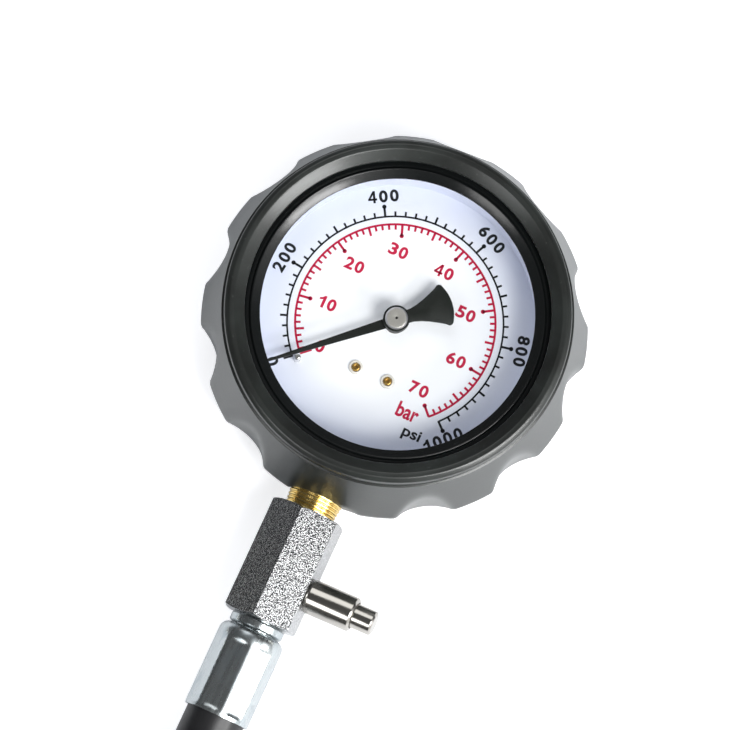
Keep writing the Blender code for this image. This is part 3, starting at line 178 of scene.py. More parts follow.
class Nodes:  # a node tree that is written as sums
    def __init__(self, tree):
        self.tree = tree

    def node(self, kind, settings=None, inputs=None, output=0):
        made = self.tree.nodes.new(kind)
        for key, value in (settings or {}).items():
            if key == "stops":
                ramp = made.color_ramp
                while len(ramp.elements) < len(value):
                    ramp.elements.new(0.5)
                for element, (position, colour) in zip(ramp.elements, value):
                    element.position = position
                    element.color = (*colour, 1)
            else:
                setattr(made, key, value)
        for key, value in (inputs or {}).items():
            self.feed(made.inputs[key], value)
        return Signal(self, made.outputs[output])

    def feed(self, socket, value):
        if isinstance(value, Signal):
            self.tree.links.new(value.socket, socket)
        elif isinstance(value, tuple) and len(value) == 3 and len(socket.default_value) == 4:
            socket.default_value = (*value, 1)
        else:
            socket.default_value = value

    def steps(self, value, low, high, start=0.0, end=1.0):
        return self.node("ShaderNodeMapRange", {"interpolation_type": "SMOOTHSTEP"},
                         {"Value": value, "From Min": low, "From Max": high, "To Min": start, "To Max": end})

    def blend(self, share, first, second):
        return self.node("ShaderNodeMix", {"data_type": "RGBA"}, {0: share, 6: first, 7: second}, output=2)

    def ray(self, *kinds):  # 1 for rays of these kinds
        seen = self.node("ShaderNodeLightPath", output=f"Is {kinds[0]} Ray")
        for kind in kinds[1:]:
            seen = seen.maths("MAXIMUM", self.node("ShaderNodeLightPath", output=f"Is {kind} Ray"))
        return seen


class Sheet(Nodes):  # one material
    def __init__(self, name, colour, roughness, metallic=0.0, **constants):
        self.material = bpy.data.materials.new(name)
        self.material.use_nodes = True
        super().__init__(self.material.node_tree)
        self.shader = self.tree.nodes["Principled BSDF"]
        self.output = self.tree.nodes["Material Output"]
        self.shader.inputs["Base Color"].default_value = (*colour, 1)
        self.shader.inputs["Roughness"].default_value = roughness
        self.shader.inputs["Metallic"].default_value = metallic
        for socket, value in constants.items():
            self.shader.inputs[socket.replace("_", " ")].default_value = value
        self.place = self.node("ShaderNodeTexCoord", output="Object")

    def link(self, name, value):
        self.feed(self.shader.inputs[name], value)

    def noise(self, scale, detail=3.0, roughness=0.5, stretch=None):
        place = self.place
        if stretch:
            place = self.node("ShaderNodeMapping", inputs={"Vector": place, "Scale": stretch})
        return self.node("ShaderNodeTexNoise", inputs={"Vector": place, "Scale": scale, "Detail": detail,
                                                       "Roughness": roughness})

    def bump(self, height, strength, distance):
        self.link("Normal", self.node("ShaderNodeBump", inputs={"Strength": strength, "Distance": distance,
                                                                "Height": height}))


# finishes

finishSettings = {
    "rubber": (0.010, 0.011, 0.010),
    "rubberWorn": (0.020, 0.023, 0.021),
    "blackGloss": (0.005, 0.006, 0.006),
    "dialMiddle": (0.91, 0.91, 0.915),
    # painted shade: the blue-grey the dial takes towards its rim, standing in for the shade under the bezel wall
    "dialPaintedShade": (0.62, 0.65, 0.76),
    "crimson": (0.44, 0.006, 0.042),
    "ink": (0.008, 0.009, 0.010),
    "brass": (0.83, 0.63, 0.24),
    "nickel": (0.56, 0.54, 0.50),
    "zinc": (0.86, 0.88, 0.88),
    "hose": (0.010, 0.010, 0.011),
}


def makeBootRubber():
    colour = finishSettings
    sheet = Sheet("bootRubber", colour["rubber"], 0.4, Specular_IOR_Level=0.52, Coat_Weight=0.22,
                  Coat_Roughness=0.24, Coat_Tint=(0.93, 1.0, 0.96, 1.0))
    cloud = sheet.noise(60, 4)
    specks = sheet.noise(2600, 2)
    dust = sheet.steps(sheet.noise(900, 3), 0.66, 0.74)
    tint = sheet.blend(sheet.steps(cloud, 0.35, 0.7), colour["rubber"], colour["rubberWorn"])
    sheet.link("Base Color", sheet.blend(dust * 0.10, tint, (0.20, 0.21, 0.20)))
    sheet.link("Roughness", 0.27 + cloud * 0.1 + dust * 0.1)
    sheet.bump(specks * 0.7 + sheet.noise(700, 3) * 0.5, 0.2, 0.0001)
    return sheet.material


def makeBlackGloss():
    sheet = Sheet("bezelPaint", finishSettings["blackGloss"], 0.2, Specular_IOR_Level=0.5)
    sheet.link("Roughness", 0.15 + sheet.noise(90, 3) * 0.12)
    sheet.bump(sheet.noise(420, 2), 0.12, 0.0002)
    return sheet.material


def makeDialWhite():
    colour = finishSettings
    sheet = Sheet("dialEnamel", colour["dialMiddle"], 0.38)
    centre = sheet.node("ShaderNodeVectorMath", {"operation": "MULTIPLY"}, {0: sheet.place, 1: (1, 1, 0)})
    reach = sheet.node("ShaderNodeVectorMath", {"operation": "LENGTH"}, {0: centre}, output="Value")
    # painted shade: the enamel turns blue-grey towards the rim, where the bezel's deep recess shades it; the mottle
    # varies that shade
    paintedShadeMask = sheet.steps(reach, 0.020, 0.0385)
    mottled = sheet.noise(70, 2) * 0.2
    sheet.link("Base Color", sheet.blend(paintedShadeMask * 0.8 + mottled * paintedShadeMask, colour["dialMiddle"], colour["dialPaintedShade"]))
    sheet.link("Roughness", 0.34 + sheet.noise(300, 2) * 0.08)
    return sheet.material


def makeInk(name, colour):
    sheet = Sheet(name, colour, 0.45, Specular_IOR_Level=0.25)
    wear = sheet.steps(sheet.noise(3000, 3), 0.3, 0.75)
    lighter = tuple(min(1, part * 1.25 + 0.004) for part in colour)
    sheet.link("Base Color", sheet.blend(wear, colour, lighter))
    return sheet.material


def makePointerBlack():
    sheet = Sheet("pointerPaint", (0.006, 0.008, 0.006), 0.42, Specular_IOR_Level=0.35)
    sheet.link("Roughness", 0.36 + sheet.noise(900, 3) * 0.14)
    sheet.bump(sheet.noise(1800, 2), 0.08, 0.0001)
    return sheet.material


def makeBrass():
    colour = finishSettings["brass"]
    sheet = Sheet("machinedBrass", colour, 0.24, 1.0)
    stain = sheet.steps(sheet.noise(260, 4), 0.5, 0.85)
    sheet.link("Base Color", sheet.blend(stain, colour, (0.62, 0.38, 0.09)))
    sheet.link("Roughness", 0.2 + sheet.noise(300, 2) * 0.08)
    sheet.bump(sheet.noise(700, 2), 0.03, 0.0001)
    return sheet.material


def makeNickel(name, stretch, shade=1.0, polish=0.10, holeShadeRadius=0.0):
    colour = tuple(part * shade for part in finishSettings["nickel"])
    sheet = Sheet(name, colour, 0.16, 1.0)
    turning = sheet.noise(120, 3, 0.6, stretch)
    if holeShadeRadius:  # painted shade: a near-black spot over the small dimple on the axis and its rim
        flat = sheet.node("ShaderNodeVectorMath", {"operation": "MULTIPLY"}, {0: sheet.place, 1: (1, 1, 0)})
        reach = sheet.node("ShaderNodeVectorMath", {"operation": "LENGTH"}, {0: flat}, output="Value")
        sheet.link("Base Color", sheet.blend(sheet.steps(reach, holeShadeRadius * 0.8, holeShadeRadius), (0.01, 0.01, 0.01),
                                             colour))
    sheet.link("Roughness", polish + turning * 0.16)
    sheet.bump(turning, 0.06, 0.00005)
    return sheet.material


def makeSpeckledZinc():
    colour = finishSettings["zinc"]
    sheet = Sheet("speckledZinc", colour, 0.3, 1.0)
    grain = sheet.noise(2900, 2, 0.6)
    flecks = sheet.steps(grain, 0.45, 0.55)
    cloud = sheet.noise(160, 3)
    # painted shade: Layer Weight darkens both fleck colours on faces turned towards the camera, so the face that
    # mirrors the key lamp reads darker; faces seen edge-on keep the full zinc
    paintedShadeMask = sheet.node("ShaderNodeLayerWeight", inputs={"Blend": 0.5}, output="Facing")
    dark = sheet.blend(paintedShadeMask, (0.008, 0.008, 0.009), (0.35, 0.36, 0.37))
    light = sheet.blend(paintedShadeMask, (0.21, 0.212, 0.215), colour)
    sheet.link("Base Color", sheet.blend(flecks, dark, light))
    sheet.link("Roughness", 0.14 + flecks * 0.06 + cloud * 0.06)
    sheet.bump(grain + cloud * 0.3, 0.7, 0.00014)
    return sheet.material


def makeFerruleZinc():
    colour = (0.52, 0.56, 0.57)
    sheet = Sheet("drawnZinc", colour, 0.24, 1.0)
    drawn = sheet.noise(140, 4, 0.6, (6, 0.5, 6))
    stain = sheet.steps(sheet.noise(220, 4), 0.45, 0.75)
    sheet.link("Base Color", sheet.blend(stain * 0.6, colour, (0.34, 0.40, 0.44)))
    sheet.link("Roughness", 0.16 + drawn * 0.2 + stain * 0.06)
    sheet.bump(drawn + sheet.noise(1300, 2) * 0.4, 0.14, 0.0001)
    return sheet.material


def makeHoseRubber():
    colour = finishSettings["hose"]
    sheet = Sheet("hoseCover", colour, 0.4, Specular_IOR_Level=0.5)
    sheet.link("Roughness", 0.30 + sheet.noise(200, 3) * 0.2)
    sheet.bump(sheet.noise(500, 4) + sheet.noise(90, 2) * 0.6, 0.18, 0.0002)
    return sheet.material


def makePlainSteel(name, colour, roughness, metallic=1.0):
    sheet = Sheet(name, colour, roughness, metallic)
    brushed = sheet.noise(300, 3, 0.6)
    sheet.link("Roughness", roughness - 0.06 + brushed * 0.14)
    sheet.bump(brushed, 0.05, 0.00008)
    return sheet.material


def makeLensGlass():
    sheet = Sheet("lensGlass", (1.0, 1.0, 1.0), 0.02, Alpha=1.0)
    clear = sheet.node("ShaderNodeBsdfTransparent", inputs={"Color": (0.985, 0.99, 0.99)})
    gloss = sheet.node("ShaderNodeBsdfGlossy", inputs={"Color": (1.0, 1.0, 1.0), "Roughness": 0.02})
    facing = sheet.node("ShaderNodeLayerWeight", inputs={"Blend": 0.5}, output="Facing")
    share = 0.012 + facing * facing * facing * facing * facing * 0.9  # alike from inside and outside
    mixed = sheet.node("ShaderNodeMixShader", inputs={0: share, 1: clear, 2: gloss})
    sheet.tree.links.new(mixed.socket, sheet.output.inputs["Surface"])
    return sheet.material


finishes = {
    "bootRubber": makeBootRubber(),
    "bezelPaint": makeBlackGloss(),
    "dial": makeDialWhite(),
    # the dial's painted rim shade as a paint of its own, with ink wear
    "dialPaintedShade": makeInk("dialShadePaint", finishSettings["dialPaintedShade"]),
    "ink": makeInk("blackInk", finishSettings["ink"]),
    "crimson": makeInk("crimsonInk", finishSettings["crimson"]),
    "pointer": makePointerBlack(),
    "brass": makeBrass(),
    # the cap's last figure is the radius of its painted dimple shade
    "cap": makeNickel("cappedNickel", (1, 1, 1), 1.25, 0.31, 0.00042),
    "barrel": makeNickel("turnedNickel", (1, 14, 1), 0.9),
    "coupler": makeNickel("couplerNickel", (1, 10, 1), 0.95),
    "hex": makeSpeckledZinc(),
    "ferrule": makeFerruleZinc(),
    "hose": makeHoseRubber(),
    "steel": makePlainSteel("springSteel", (0.45, 0.46, 0.48), 0.28),
    "case": makePlainSteel("caseSteel", (0.30, 0.31, 0.32), 0.36),
    "bronze": makePlainSteel("tubeBronze", (0.62, 0.42, 0.20), 0.3),
    "copper": makePlainSteel("washerCopper", (0.72, 0.38, 0.24), 0.34),
    "seal": makePlainSteel("sealRubber", (0.02, 0.02, 0.02), 0.6, 0.0),
    "paleRing": makePlainSteel("paleRing", (0.74, 0.73, 0.70), 0.3),
    "creamRing": makePlainSteel("creamRing", (0.78, 0.74, 0.66), 0.4, 0.2),
    "screw": makePlainSteel("screwBrass", (0.58, 0.36, 0.10), 0.34),
    # near-black paint standing in for the shade inside holes; no piece takes it
    "hole": makePlainSteel("holeShadePaint", (0.01, 0.01, 0.01), 0.6, 0.0),
    "lens": makeLensGlass(),
}
pressureHose.data.materials.append(finishes["hose"])
print("finishes made")


# modelling tools

def deselectAll():
    if bpy.context.mode != "OBJECT":
        bpy.ops.object.mode_set(mode="OBJECT")
    bpy.ops.object.select_all(action="DESELECT")


def activate(piece):
    deselectAll()
    piece.select_set(True)
    bpy.context.view_layer.objects.active = piece


def roundCorners(corners, segments=4):  # corners are (across, along, fillet), in mm
    points = []
    for index, corner in enumerate(corners):
        here = Vector(corner[:2])
        fillet = corner[2] if len(corner) > 2 else 0
        if not fillet:
            points.append(tuple(here))
            continue
        before = (Vector(corners[index - 1][:2]) - here).normalized()
        after = (Vector(corners[(index + 1) % len(corners)][:2]) - here).normalized()
        half = before.angle(after) / 2
        reach = fillet / math.tan(half)
        centre = here + (before + after).normalized() * fillet / math.sin(half)
        start = here + before * reach - centre
        sweep = start.angle_signed(here + after * reach - centre)
        for step in range(segments + 1):
            turn = -sweep * step / segments
            points.append((centre.x + start.x * math.cos(turn) - start.y * math.sin(turn),
                           centre.y + start.x * math.sin(turn) + start.y * math.cos(turn)))
    return points


def startChain(name, points):  # one vertex, extruded from point to point
    deselectAll()
    bpy.ops.mesh.primitive_plane_add(size=0.001, location=(0, 0, 0))
    piece = bpy.context.active_object
    piece.name = name
    bpy.ops.object.mode_set(mode="EDIT")
    bpy.ops.mesh.select_all(action="SELECT")
    bpy.ops.mesh.merge(type="CENTER")
    bpy.ops.transform.translate(value=points[0])
    for here, there in zip(points, points[1:]):
        step = Vector(there) - Vector(here)
        bpy.ops.mesh.extrude_region_move(TRANSFORM_OT_translate={"value": step})
    return piece


def turnProfile(name, profile, steps, closed=True, sharp=32):  # profile of (radius, height) in mm, round Z
    points = [(radius * mm, 0, height * mm) for radius, height in profile]
    if closed:
        points.append(points[0])
    piece = startChain(name, points)
    bpy.ops.mesh.select_all(action="SELECT")
    bpy.ops.mesh.remove_doubles(threshold=1e-7)
    bpy.ops.mesh.spin(steps=steps, angle=2 * math.pi, center=(0, 0, 0), axis=(0, 0, 1))
    bpy.ops.mesh.select_all(action="SELECT")
    bpy.ops.mesh.remove_doubles(threshold=2e-6)
    bpy.ops.mesh.normals_make_consistent(inside=False)
    bpy.ops.object.mode_set(mode="OBJECT")
    smoothByAngle(piece, sharp)
    return piece


def smoothByAngle(piece, angle=32):
    activate(piece)
    bpy.ops.object.shade_smooth_by_angle(angle=math.radians(angle))


def applyModifier(piece, kind, **settings):
    activate(piece)
    change = piece.modifiers.new(kind.lower(), kind)
    for key, value in settings.items():
        setattr(change, key, value)
    bpy.ops.object.modifier_apply(modifier=change.name)


def cutWith(piece, cutter, operation="DIFFERENCE"):
    applyModifier(piece, "BOOLEAN", operation=operation, solver="EXACT", object=cutter)
    bpy.data.objects.remove(cutter, do_unlink=True)


def joinPieces(name, pieces):
    deselectAll()
    for piece in pieces:
        piece.select_set(True)
    bpy.context.view_layer.objects.active = pieces[0]
    bpy.ops.object.join()
    whole = bpy.context.active_object
    whole.name = name
    return whole


placements = {
    "gauge": Matrix.Identity(4),
    "stem": Matrix.Translation((0, 0, 0.012)) @ Matrix.Rotation(math.radians(90), 4, "X"),
    "valve": Matrix.Translation((0, -0.077, 0.012)) @ Matrix.Rotation(math.radians(79.5), 4, "Y"),
    "coupler": Matrix.Translation((-0.145, -0.119, 0.0088)) @ Matrix.Rotation(math.radians(-90), 4, "X"),
}


def settle(piece, body, finish, replaced=(), placement="gauge"):
    piece.matrix_world = placements[placement]
    activate(piece)
    bpy.ops.object.transform_apply(location=True, rotation=True, scale=True)
    piece.data.materials.clear()
    piece.data.materials.append(finishes[finish])
    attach(piece, body)
    if replaced:
        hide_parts(*replaced)
    return piece


# rubber boot

bootSettings = {
    "steps": 432,
    "turn": 3.3,
    "lobes": 12,
    "radius": 53.0,
    "fluteDepth": 3.7,
    "fluteRadius": 11.0,
    "softness": 0.42,
    "recessHalf": 9.4,
    "recessRadius": 52.0,
    "stemHole": 8.1,
}


def bootProfile():
    cone = [(47.2 + (53.0 - 47.2) * k / 22, 36.05 + (15.0 - 36.05) * k / 22) for k in range(1, 21)]
    taper = [(53.0 + (48.8 - 53.0) * k / 12, 12.6 - 12.6 * k / 12) for k in range(2, 11)]
    front = roundCorners([
        (41.0, 36.75), (41.0, 37.9, 0.3), (43.75, 39.95, 0.9), (45.1, 40.15, 1.0), (46.35, 39.2, 0.8),
        (46.6, 36.75), (46.35, 36.35, 0.25), (47.2, 36.05)], 5)
    wide = roundCorners([(52.0, 18.6), (53.0, 15.0, 1.4), (53.0, 12.6, 1.4), (52.3, 10.5)], 5)[1:-1]
    back = roundCorners([
        (49.15, 1.05), (48.8, 0.0, 1.6), (47.0, -1.6, 0.4), (34.0, -1.6, 0.5), (34.0, 0.5), (39.0, 0.5),
        (40.8, 2.6), (40.8, 25.8), (43.6, 25.8), (43.6, 35.05), (42.7, 36.75)], 4)[1:]
    return front + cone + wide + taper + back


def lobeReach(angle):  # outline radius at an angle round the boot, in degrees
    settings = bootSettings
    pitch = 360 / settings["lobes"]
    local = (angle - 90 - settings["turn"]) % 360
    index = round(local / pitch) % settings["lobes"]
    if 2 * index == settings["lobes"]:
        return settings["radius"] + 2
    delta = math.radians((local - index * pitch + 180) % 360 - 180)
    orbit = settings["radius"] - settings["fluteDepth"] + settings["fluteRadius"]
    inside = settings["fluteRadius"] ** 2 - (orbit * math.sin(delta)) ** 2
    if inside <= 0:
        return settings["radius"] + 2
    return min(settings["radius"] + 2, orbit * math.cos(delta) - math.sqrt(inside))


def recessReach(angle, height):
    settings = bootSettings
    local = math.radians(angle - 270 - settings["turn"])
    if math.cos(local) <= 0.5:
        return settings["radius"] + 2
    across = abs(settings["recessRadius"] * math.tan(local))
    blend = min(1, max(0, (across - settings["recessHalf"] + 0.3) / 0.6))
    return settings["recessRadius"] / math.cos(local) + 2.5 * blend * blend * (3 - 2 * blend)


def softLeast(first, second, softness):
    gap = max(-30, min(30, (first - second) / softness))
    return first - softness * math.log(1 + math.exp(gap))


def addBoot():
    settings = bootSettings
    boot = turnProfile("rubberBoot", bootProfile(), settings["steps"])
    for vertex in boot.data.vertices:
        x, y, z = vertex.co / mm
        reach = math.hypot(x, y)
        if reach < 46.9 and z > 34 or reach < 46.0:
            continue
        angle = math.degrees(math.atan2(y, x))
        pressed = softLeast(reach, lobeReach(angle), settings["softness"])
        pressed = softLeast(pressed, recessReach(angle, z), 0.15)
        vertex.co.x *= pressed / reach
        vertex.co.y *= pressed / reach
    hole = turnProfile("stemHole", [(0, 38), (settings["stemHole"], 38), (settings["stemHole"], 58), (0, 58)],
                       64, closed=False)
    hole.matrix_world = placements["stem"]
    cutWith(boot, hole)
    smoothByAngle(boot, 40)
    return settle(boot, "gauge", "bootRubber", ["boot"])


addBoot()
print("boot shaped")


# bezel and lens

bezelSettings = {"opening": 36.9, "low": 33.4, "crest": 35.6, "radius": 43.3, "skirt": 26.1}


def addBezel():
    s = bezelSettings
    profile = roundCorners([
        (s["opening"], s["low"]), (s["opening"], s["low"] + 0.45, 0.2), (39.3, s["crest"], 0.35),
        (39.9, 35.0, 0.2), (s["radius"], 34.85, 0.5), (s["radius"], s["skirt"]), (42.4, s["skirt"]),
        (42.4, 34.1), (40.0, 34.2), (39.1, s["low"])], 5)
    bezel = turnProfile("bezel", profile, 240)
    return settle(bezel, "gauge", "bezelPaint", ["bezel_ring"])


def addLens():
    lens = turnProfile("lensDisc", [(0, 30.2), (38.9, 30.2), (39.3, 30.6), (39.3, 31.8), (38.9, 32.2), (0, 32.2)],
                       160, closed=False)
    return settle(lens, "gauge", "lens", ["lens"])


def addSpacer():
    spacer = turnProfile("blackSpacer", roundCorners([
        (38.4, 19.3), (39.3, 19.3), (39.3, 29.9), (38.4, 29.9)]), 160)
    return settle(spacer, "gauge", "bezelPaint", ["spacer_ring"])


addBezel()
addLens()
addSpacer()
print("bezel and lens in")


# dial

dialSettings = {
    "radius": 39.0,
    "top": 19.0,
    "printHeight": 0.03,
    "psiZero": -137.7,
    "psiSpread": 0.27,
    "barSpread": 3.916,
    "psiArc": 29.5,
    "barArc": 27.3,
    "psiLetters": 3.4,
    "psiLetterReach": 35.2,
    "psiLetterStep": 3.02,
    "barLetters": 3.45,
    "barLetterStep": 2.9,
    "barLetterReach": 19.4,
    "barLetterNudges": {0: (-1.55, -1.41), 30: (-0.7, 0.3)},
}


def addDialPlate():
    s = dialSettings
    low = s["top"] - 0.8
    dial = turnProfile("dialFace", [(3.0, low), (s["radius"], low), (s["radius"], s["top"]), (3.0, s["top"])], 160)
    return settle(dial, "gauge", "dial", ["dial_plate"])


def addDialRim():  # the dial's turned-up edge, inside the spacer, coloured with the dial's painted rim shade
    s = dialSettings
    rim = turnProfile("dialRim", [(38.15, s["top"]), (38.37, s["top"]), (38.37, 29.3), (38.15, 29.3)], 160)
    return settle(rim, "gauge", "dialPaintedShade")


def addBar(angle, inner, outer, width):  # one printed line along a radius, angle clockwise from the top
    s = dialSettings
    low = s["top"] - 0.05
    high = s["top"] + s["printHeight"]
    deselectAll()
    bpy.ops.mesh.primitive_cube_add(size=1, location=(0, (inner + outer) / 2 * mm, (low + high) / 2 * mm),
                                    scale=(width * mm, (outer - inner) * mm, (high - low) * mm))
    bar = bpy.context.active_object
    bpy.ops.object.transform_apply(location=True, rotation=True, scale=True)
    bar.rotation_euler.z = -math.radians(angle)
    bpy.ops.object.transform_apply(location=True, rotation=True, scale=True)
    return bar


def addBall(angle, reach, radius):
    s = dialSettings
    deselectAll()
    bpy.ops.mesh.primitive_cylinder_add(vertices=20, radius=radius * mm, depth=(s["printHeight"] + 0.05) * mm,
                                        location=(math.sin(math.radians(angle)) * reach * mm,
                                                  math.cos(math.radians(angle)) * reach * mm,
                                                  (s["top"] + (s["printHeight"] - 0.05) / 2) * mm))
    return bpy.context.active_object


def addArcLine(reach, width, start, end):
    s = dialSettings
    low = (s["top"] - 0.05) * mm
    high = (s["top"] + s["printHeight"]) * mm
    near = (reach - width / 2) * mm
    far = (reach + width / 2) * mm
    deselectAll()
    bpy.ops.mesh.primitive_plane_add(size=1, location=((near + far) / 2, 0, (low + high) / 2),
                                     rotation=(math.radians(90), 0, 0), scale=(far - near, high - low, 1))
    line = bpy.context.active_object
    bpy.ops.object.transform_apply(location=True, rotation=True, scale=True)
    low, high = line.data.vertices[0].co.z, line.data.vertices[-1].co.z
    for vertex in line.data.vertices:
        vertex.co.x = near if vertex.co.x < (near + far) / 2 else far
        vertex.co.z = (s["top"] - 0.05) * mm if vertex.co.z < (low + high) / 2 else (s["top"] + s["printHeight"]) * mm
    line.rotation_euler.z = math.radians(90 - start)
    bpy.ops.object.transform_apply(location=True, rotation=True, scale=True)
    bpy.ops.object.mode_set(mode="EDIT")
    bpy.ops.mesh.select_all(action="SELECT")
    bpy.ops.mesh.spin(steps=120, angle=math.radians(end - start), center=(0, 0, 0), axis=(0, 0, 1))
    bpy.ops.mesh.select_all(action="SELECT")
    bpy.ops.mesh.remove_doubles(threshold=1e-7)
    bpy.ops.mesh.normals_make_consistent(inside=False)
    bpy.ops.object.mode_set(mode="OBJECT")
    return line


def addLetters(text, x, y, height, angle, boldness, width):  # angle clockwise
    s = dialSettings
    deselectAll()
    bpy.ops.object.text_add(location=(0, 0, 0))
    letters = bpy.context.active_object
    letters.data.body = text
    letters.data.size = height * mm / 0.73
    letters.data.offset = boldness * mm
    letters.data.extrude = 0.00002
    letters.data.resolution_u = 6
    bpy.ops.object.convert(target="MESH")
    letters = bpy.context.active_object
    low = [min(vertex.co[axis] for vertex in letters.data.vertices) for axis in (0, 1)]
    high = [max(vertex.co[axis] for vertex in letters.data.vertices) for axis in (0, 1)]
    tall = height * mm / (high[1] - low[1])
    wide = width * mm / (high[0] - low[0])
    for vertex in letters.data.vertices:
        vertex.co.x = (vertex.co.x - (low[0] + high[0]) / 2) * wide
        vertex.co.y = (vertex.co.y - (low[1] + high[1]) / 2) * tall
        vertex.co.z += (s["top"] + s["printHeight"] - 0.02) * mm
    letters.matrix_world = Matrix.Translation((x * mm, y * mm, 0)) @ Matrix.Rotation(-math.radians(angle), 4, "Z")
    activate(letters)
    bpy.ops.object.transform_apply(location=True, rotation=True, scale=True)
    return letters


def addOne(x, y, height, angle):  # a figure one with its flag
    s = dialSettings
    outline = [(0.03, -0.5), (0.26, -0.5), (0.26, 0.5), (0.08, 0.5), (0.0, 0.37), (-0.12, 0.29), (-0.26, 0.24),
               (-0.26, 0.07), (-0.1, 0.11), (0.03, 0.18)]
    points = [(across * height * mm, along * height * mm, (s["top"] - 0.02) * mm) for across, along in outline]
    one = startChain("figureOne", points + points[:1])
    bpy.ops.mesh.select_all(action="SELECT")
    bpy.ops.mesh.remove_doubles(threshold=1e-7)
    bpy.ops.mesh.edge_face_add()
    bpy.ops.mesh.extrude_region_move(TRANSFORM_OT_translate={"value": (0, 0, (s["printHeight"] + 0.02) * mm)})
    bpy.ops.mesh.select_all(action="SELECT")
    bpy.ops.mesh.normals_make_consistent(inside=False)
    bpy.ops.object.mode_set(mode="OBJECT")
    one.matrix_world = Matrix.Translation((x * mm, y * mm, 0)) @ Matrix.Rotation(-math.radians(angle), 4, "Z")
    activate(one)
    bpy.ops.object.transform_apply(location=True, rotation=True, scale=True)
    return one


def addFour(x, y, height, angle):  # a figure four of three strokes
    s = dialSettings
    strokes = []
    for start, end, width in (((0.14, -0.5), (0.14, 0.5), 0.19), ((-0.36, -0.2), (0.36, -0.2), 0.17),
                              ((-0.28, -0.2), (0.11, 0.44), 0.16)):
        start, end = Vector(start) * height * mm, Vector(end) * height * mm
        middle = (start + end) / 2
        bpy.ops.object.select_all(action="DESELECT")
        bpy.ops.mesh.primitive_cube_add(size=1, scale=(width * height * mm, (end - start).length,
                                                       (s["printHeight"] + 0.04) * mm))
        stroke = bpy.context.active_object
        bpy.ops.object.transform_apply(location=True, rotation=True, scale=True)
        stroke.rotation_euler.z = math.atan2(start.x - end.x, end.y - start.y)
        stroke.location = (middle.x, middle.y, (s["top"] + s["printHeight"] / 2 - 0.02) * mm)
        bpy.ops.object.transform_apply(location=True, rotation=True, scale=True)
        strokes.append(stroke)
    four = joinPieces("figureFour", strokes)
    four.matrix_world = Matrix.Translation((x * mm, y * mm, 0)) @ Matrix.Rotation(-math.radians(angle), 4, "Z")
    activate(four)
    bpy.ops.object.transform_apply(location=True, rotation=True, scale=True)
    return four


def addDigit(digit, x, y, height, angle, boldness, width):
    if digit == "1":
        return addOne(x, y, height, angle)
    if digit == "4":
        return addFour(x, y, height, angle)
    return addLetters(digit, x, y, height, angle, boldness, width)


def addPsiScale():
    s = dialSettings
    parts = [addArcLine(s["psiArc"], 0.5, -132.3, 132.45)]
    for step in range(2, 51):
        value = step * 20
        angle = s["psiZero"] + s["psiSpread"] * value
        if value % 200 == 0:
            parts.append(addBar(angle, s["psiArc"] - 0.15, 32.3, 0.64))
            parts.append(addBall(angle, 32.3, 0.6))
        elif value % 100 == 0:
            parts.append(addBar(angle, s["psiArc"] - 0.15, 31.5, 0.6))
        else:
            parts.append(addBar(angle, s["psiArc"] - 0.15, 30.9, 0.56))
    parts.append(addBar(-132.3, s["psiArc"] - 0.15, 32.0, 0.9))
    return settle(joinPieces("psiMarks", parts), "gauge", "ink")


def addBarScale():
    s = dialSettings
    parts = [addArcLine(s["barArc"], 0.6, -132.3, 136.6)]
    for value in range(2, 71):
        angle = s["psiZero"] + s["barSpread"] * value
        if value % 10 == 0:
            parts.append(addBar(angle, 24.0, s["barArc"], 0.68))
            parts.append(addBall(angle, 24.1, 0.6))
        elif value % 5 == 0:
            parts.append(addBar(angle, 24.9, s["barArc"], 0.65))
        else:
            parts.append(addBar(angle, 25.8, s["barArc"], 0.62))
    parts.append(addBar(-132.3, 24.0, s["barArc"], 1.0))
    return settle(joinPieces("barMarks", parts), "gauge", "crimson")


def addPsiNumerals():
    s = dialSettings
    parts = []
    for value in (0, 200, 400, 600, 800, 1000):
        text = str(value)
        middle = -132.3 if value == 0 else s["psiZero"] + s["psiSpread"] * value
        turn = middle
        reach = s["psiLetterReach"]
        if value == 1000:  # the last one stands upright
            middle += 1.7
            turn = middle + 180
            reach -= 0.6
        for place, digit in enumerate(text):
            across = (place - (len(text) - 1) / 2) * s["psiLetterStep"]
            x = math.sin(math.radians(middle)) * reach + math.cos(math.radians(turn)) * across
            y = math.cos(math.radians(middle)) * reach - math.sin(math.radians(turn)) * across
            parts.append(addDigit(digit, x, y, s["psiLetters"], turn, 0.17, 2.4))
    parts.append(addLetters("psi", 16.6, -26.4, 3.9, 0, 0.12, 5.2))
    return settle(joinPieces("psiNumerals", parts), "gauge", "ink")


def addBarNumerals():
    s = dialSettings
    parts = []
    for value in range(0, 71, 10):
        angle = math.radians(-132.3 if value == 0 else s["psiZero"] + s["barSpread"] * value)
        nudge = s["barLetterNudges"].get(value, (0, 0))
        x = math.sin(angle) * s["barLetterReach"] + nudge[0]
        y = math.cos(angle) * s["barLetterReach"] + nudge[1]
        text = str(value)
        for place, digit in enumerate(text):
            across = x + (place - (len(text) - 1) / 2) * s["barLetterStep"]
            parts.append(addDigit(digit, across, y, s["barLetters"], 0, 0.17, 2.45))
    parts.append(addLetters("bar", 13.2, -21.0, 4.3, 0, 0.16, 6.2))
    return settle(joinPieces("barNumerals", parts), "gauge", "crimson")


addDialPlate()
addDialRim()
addPsiScale()
addBarScale()
addPsiNumerals()
addBarNumerals()
print("dial printed")


# dial screws and stop pin

screwSettings = {"x": 4.7, "y": -15.7, "ring": 1.95, "ringHole": 1.3, "core": 1.15}


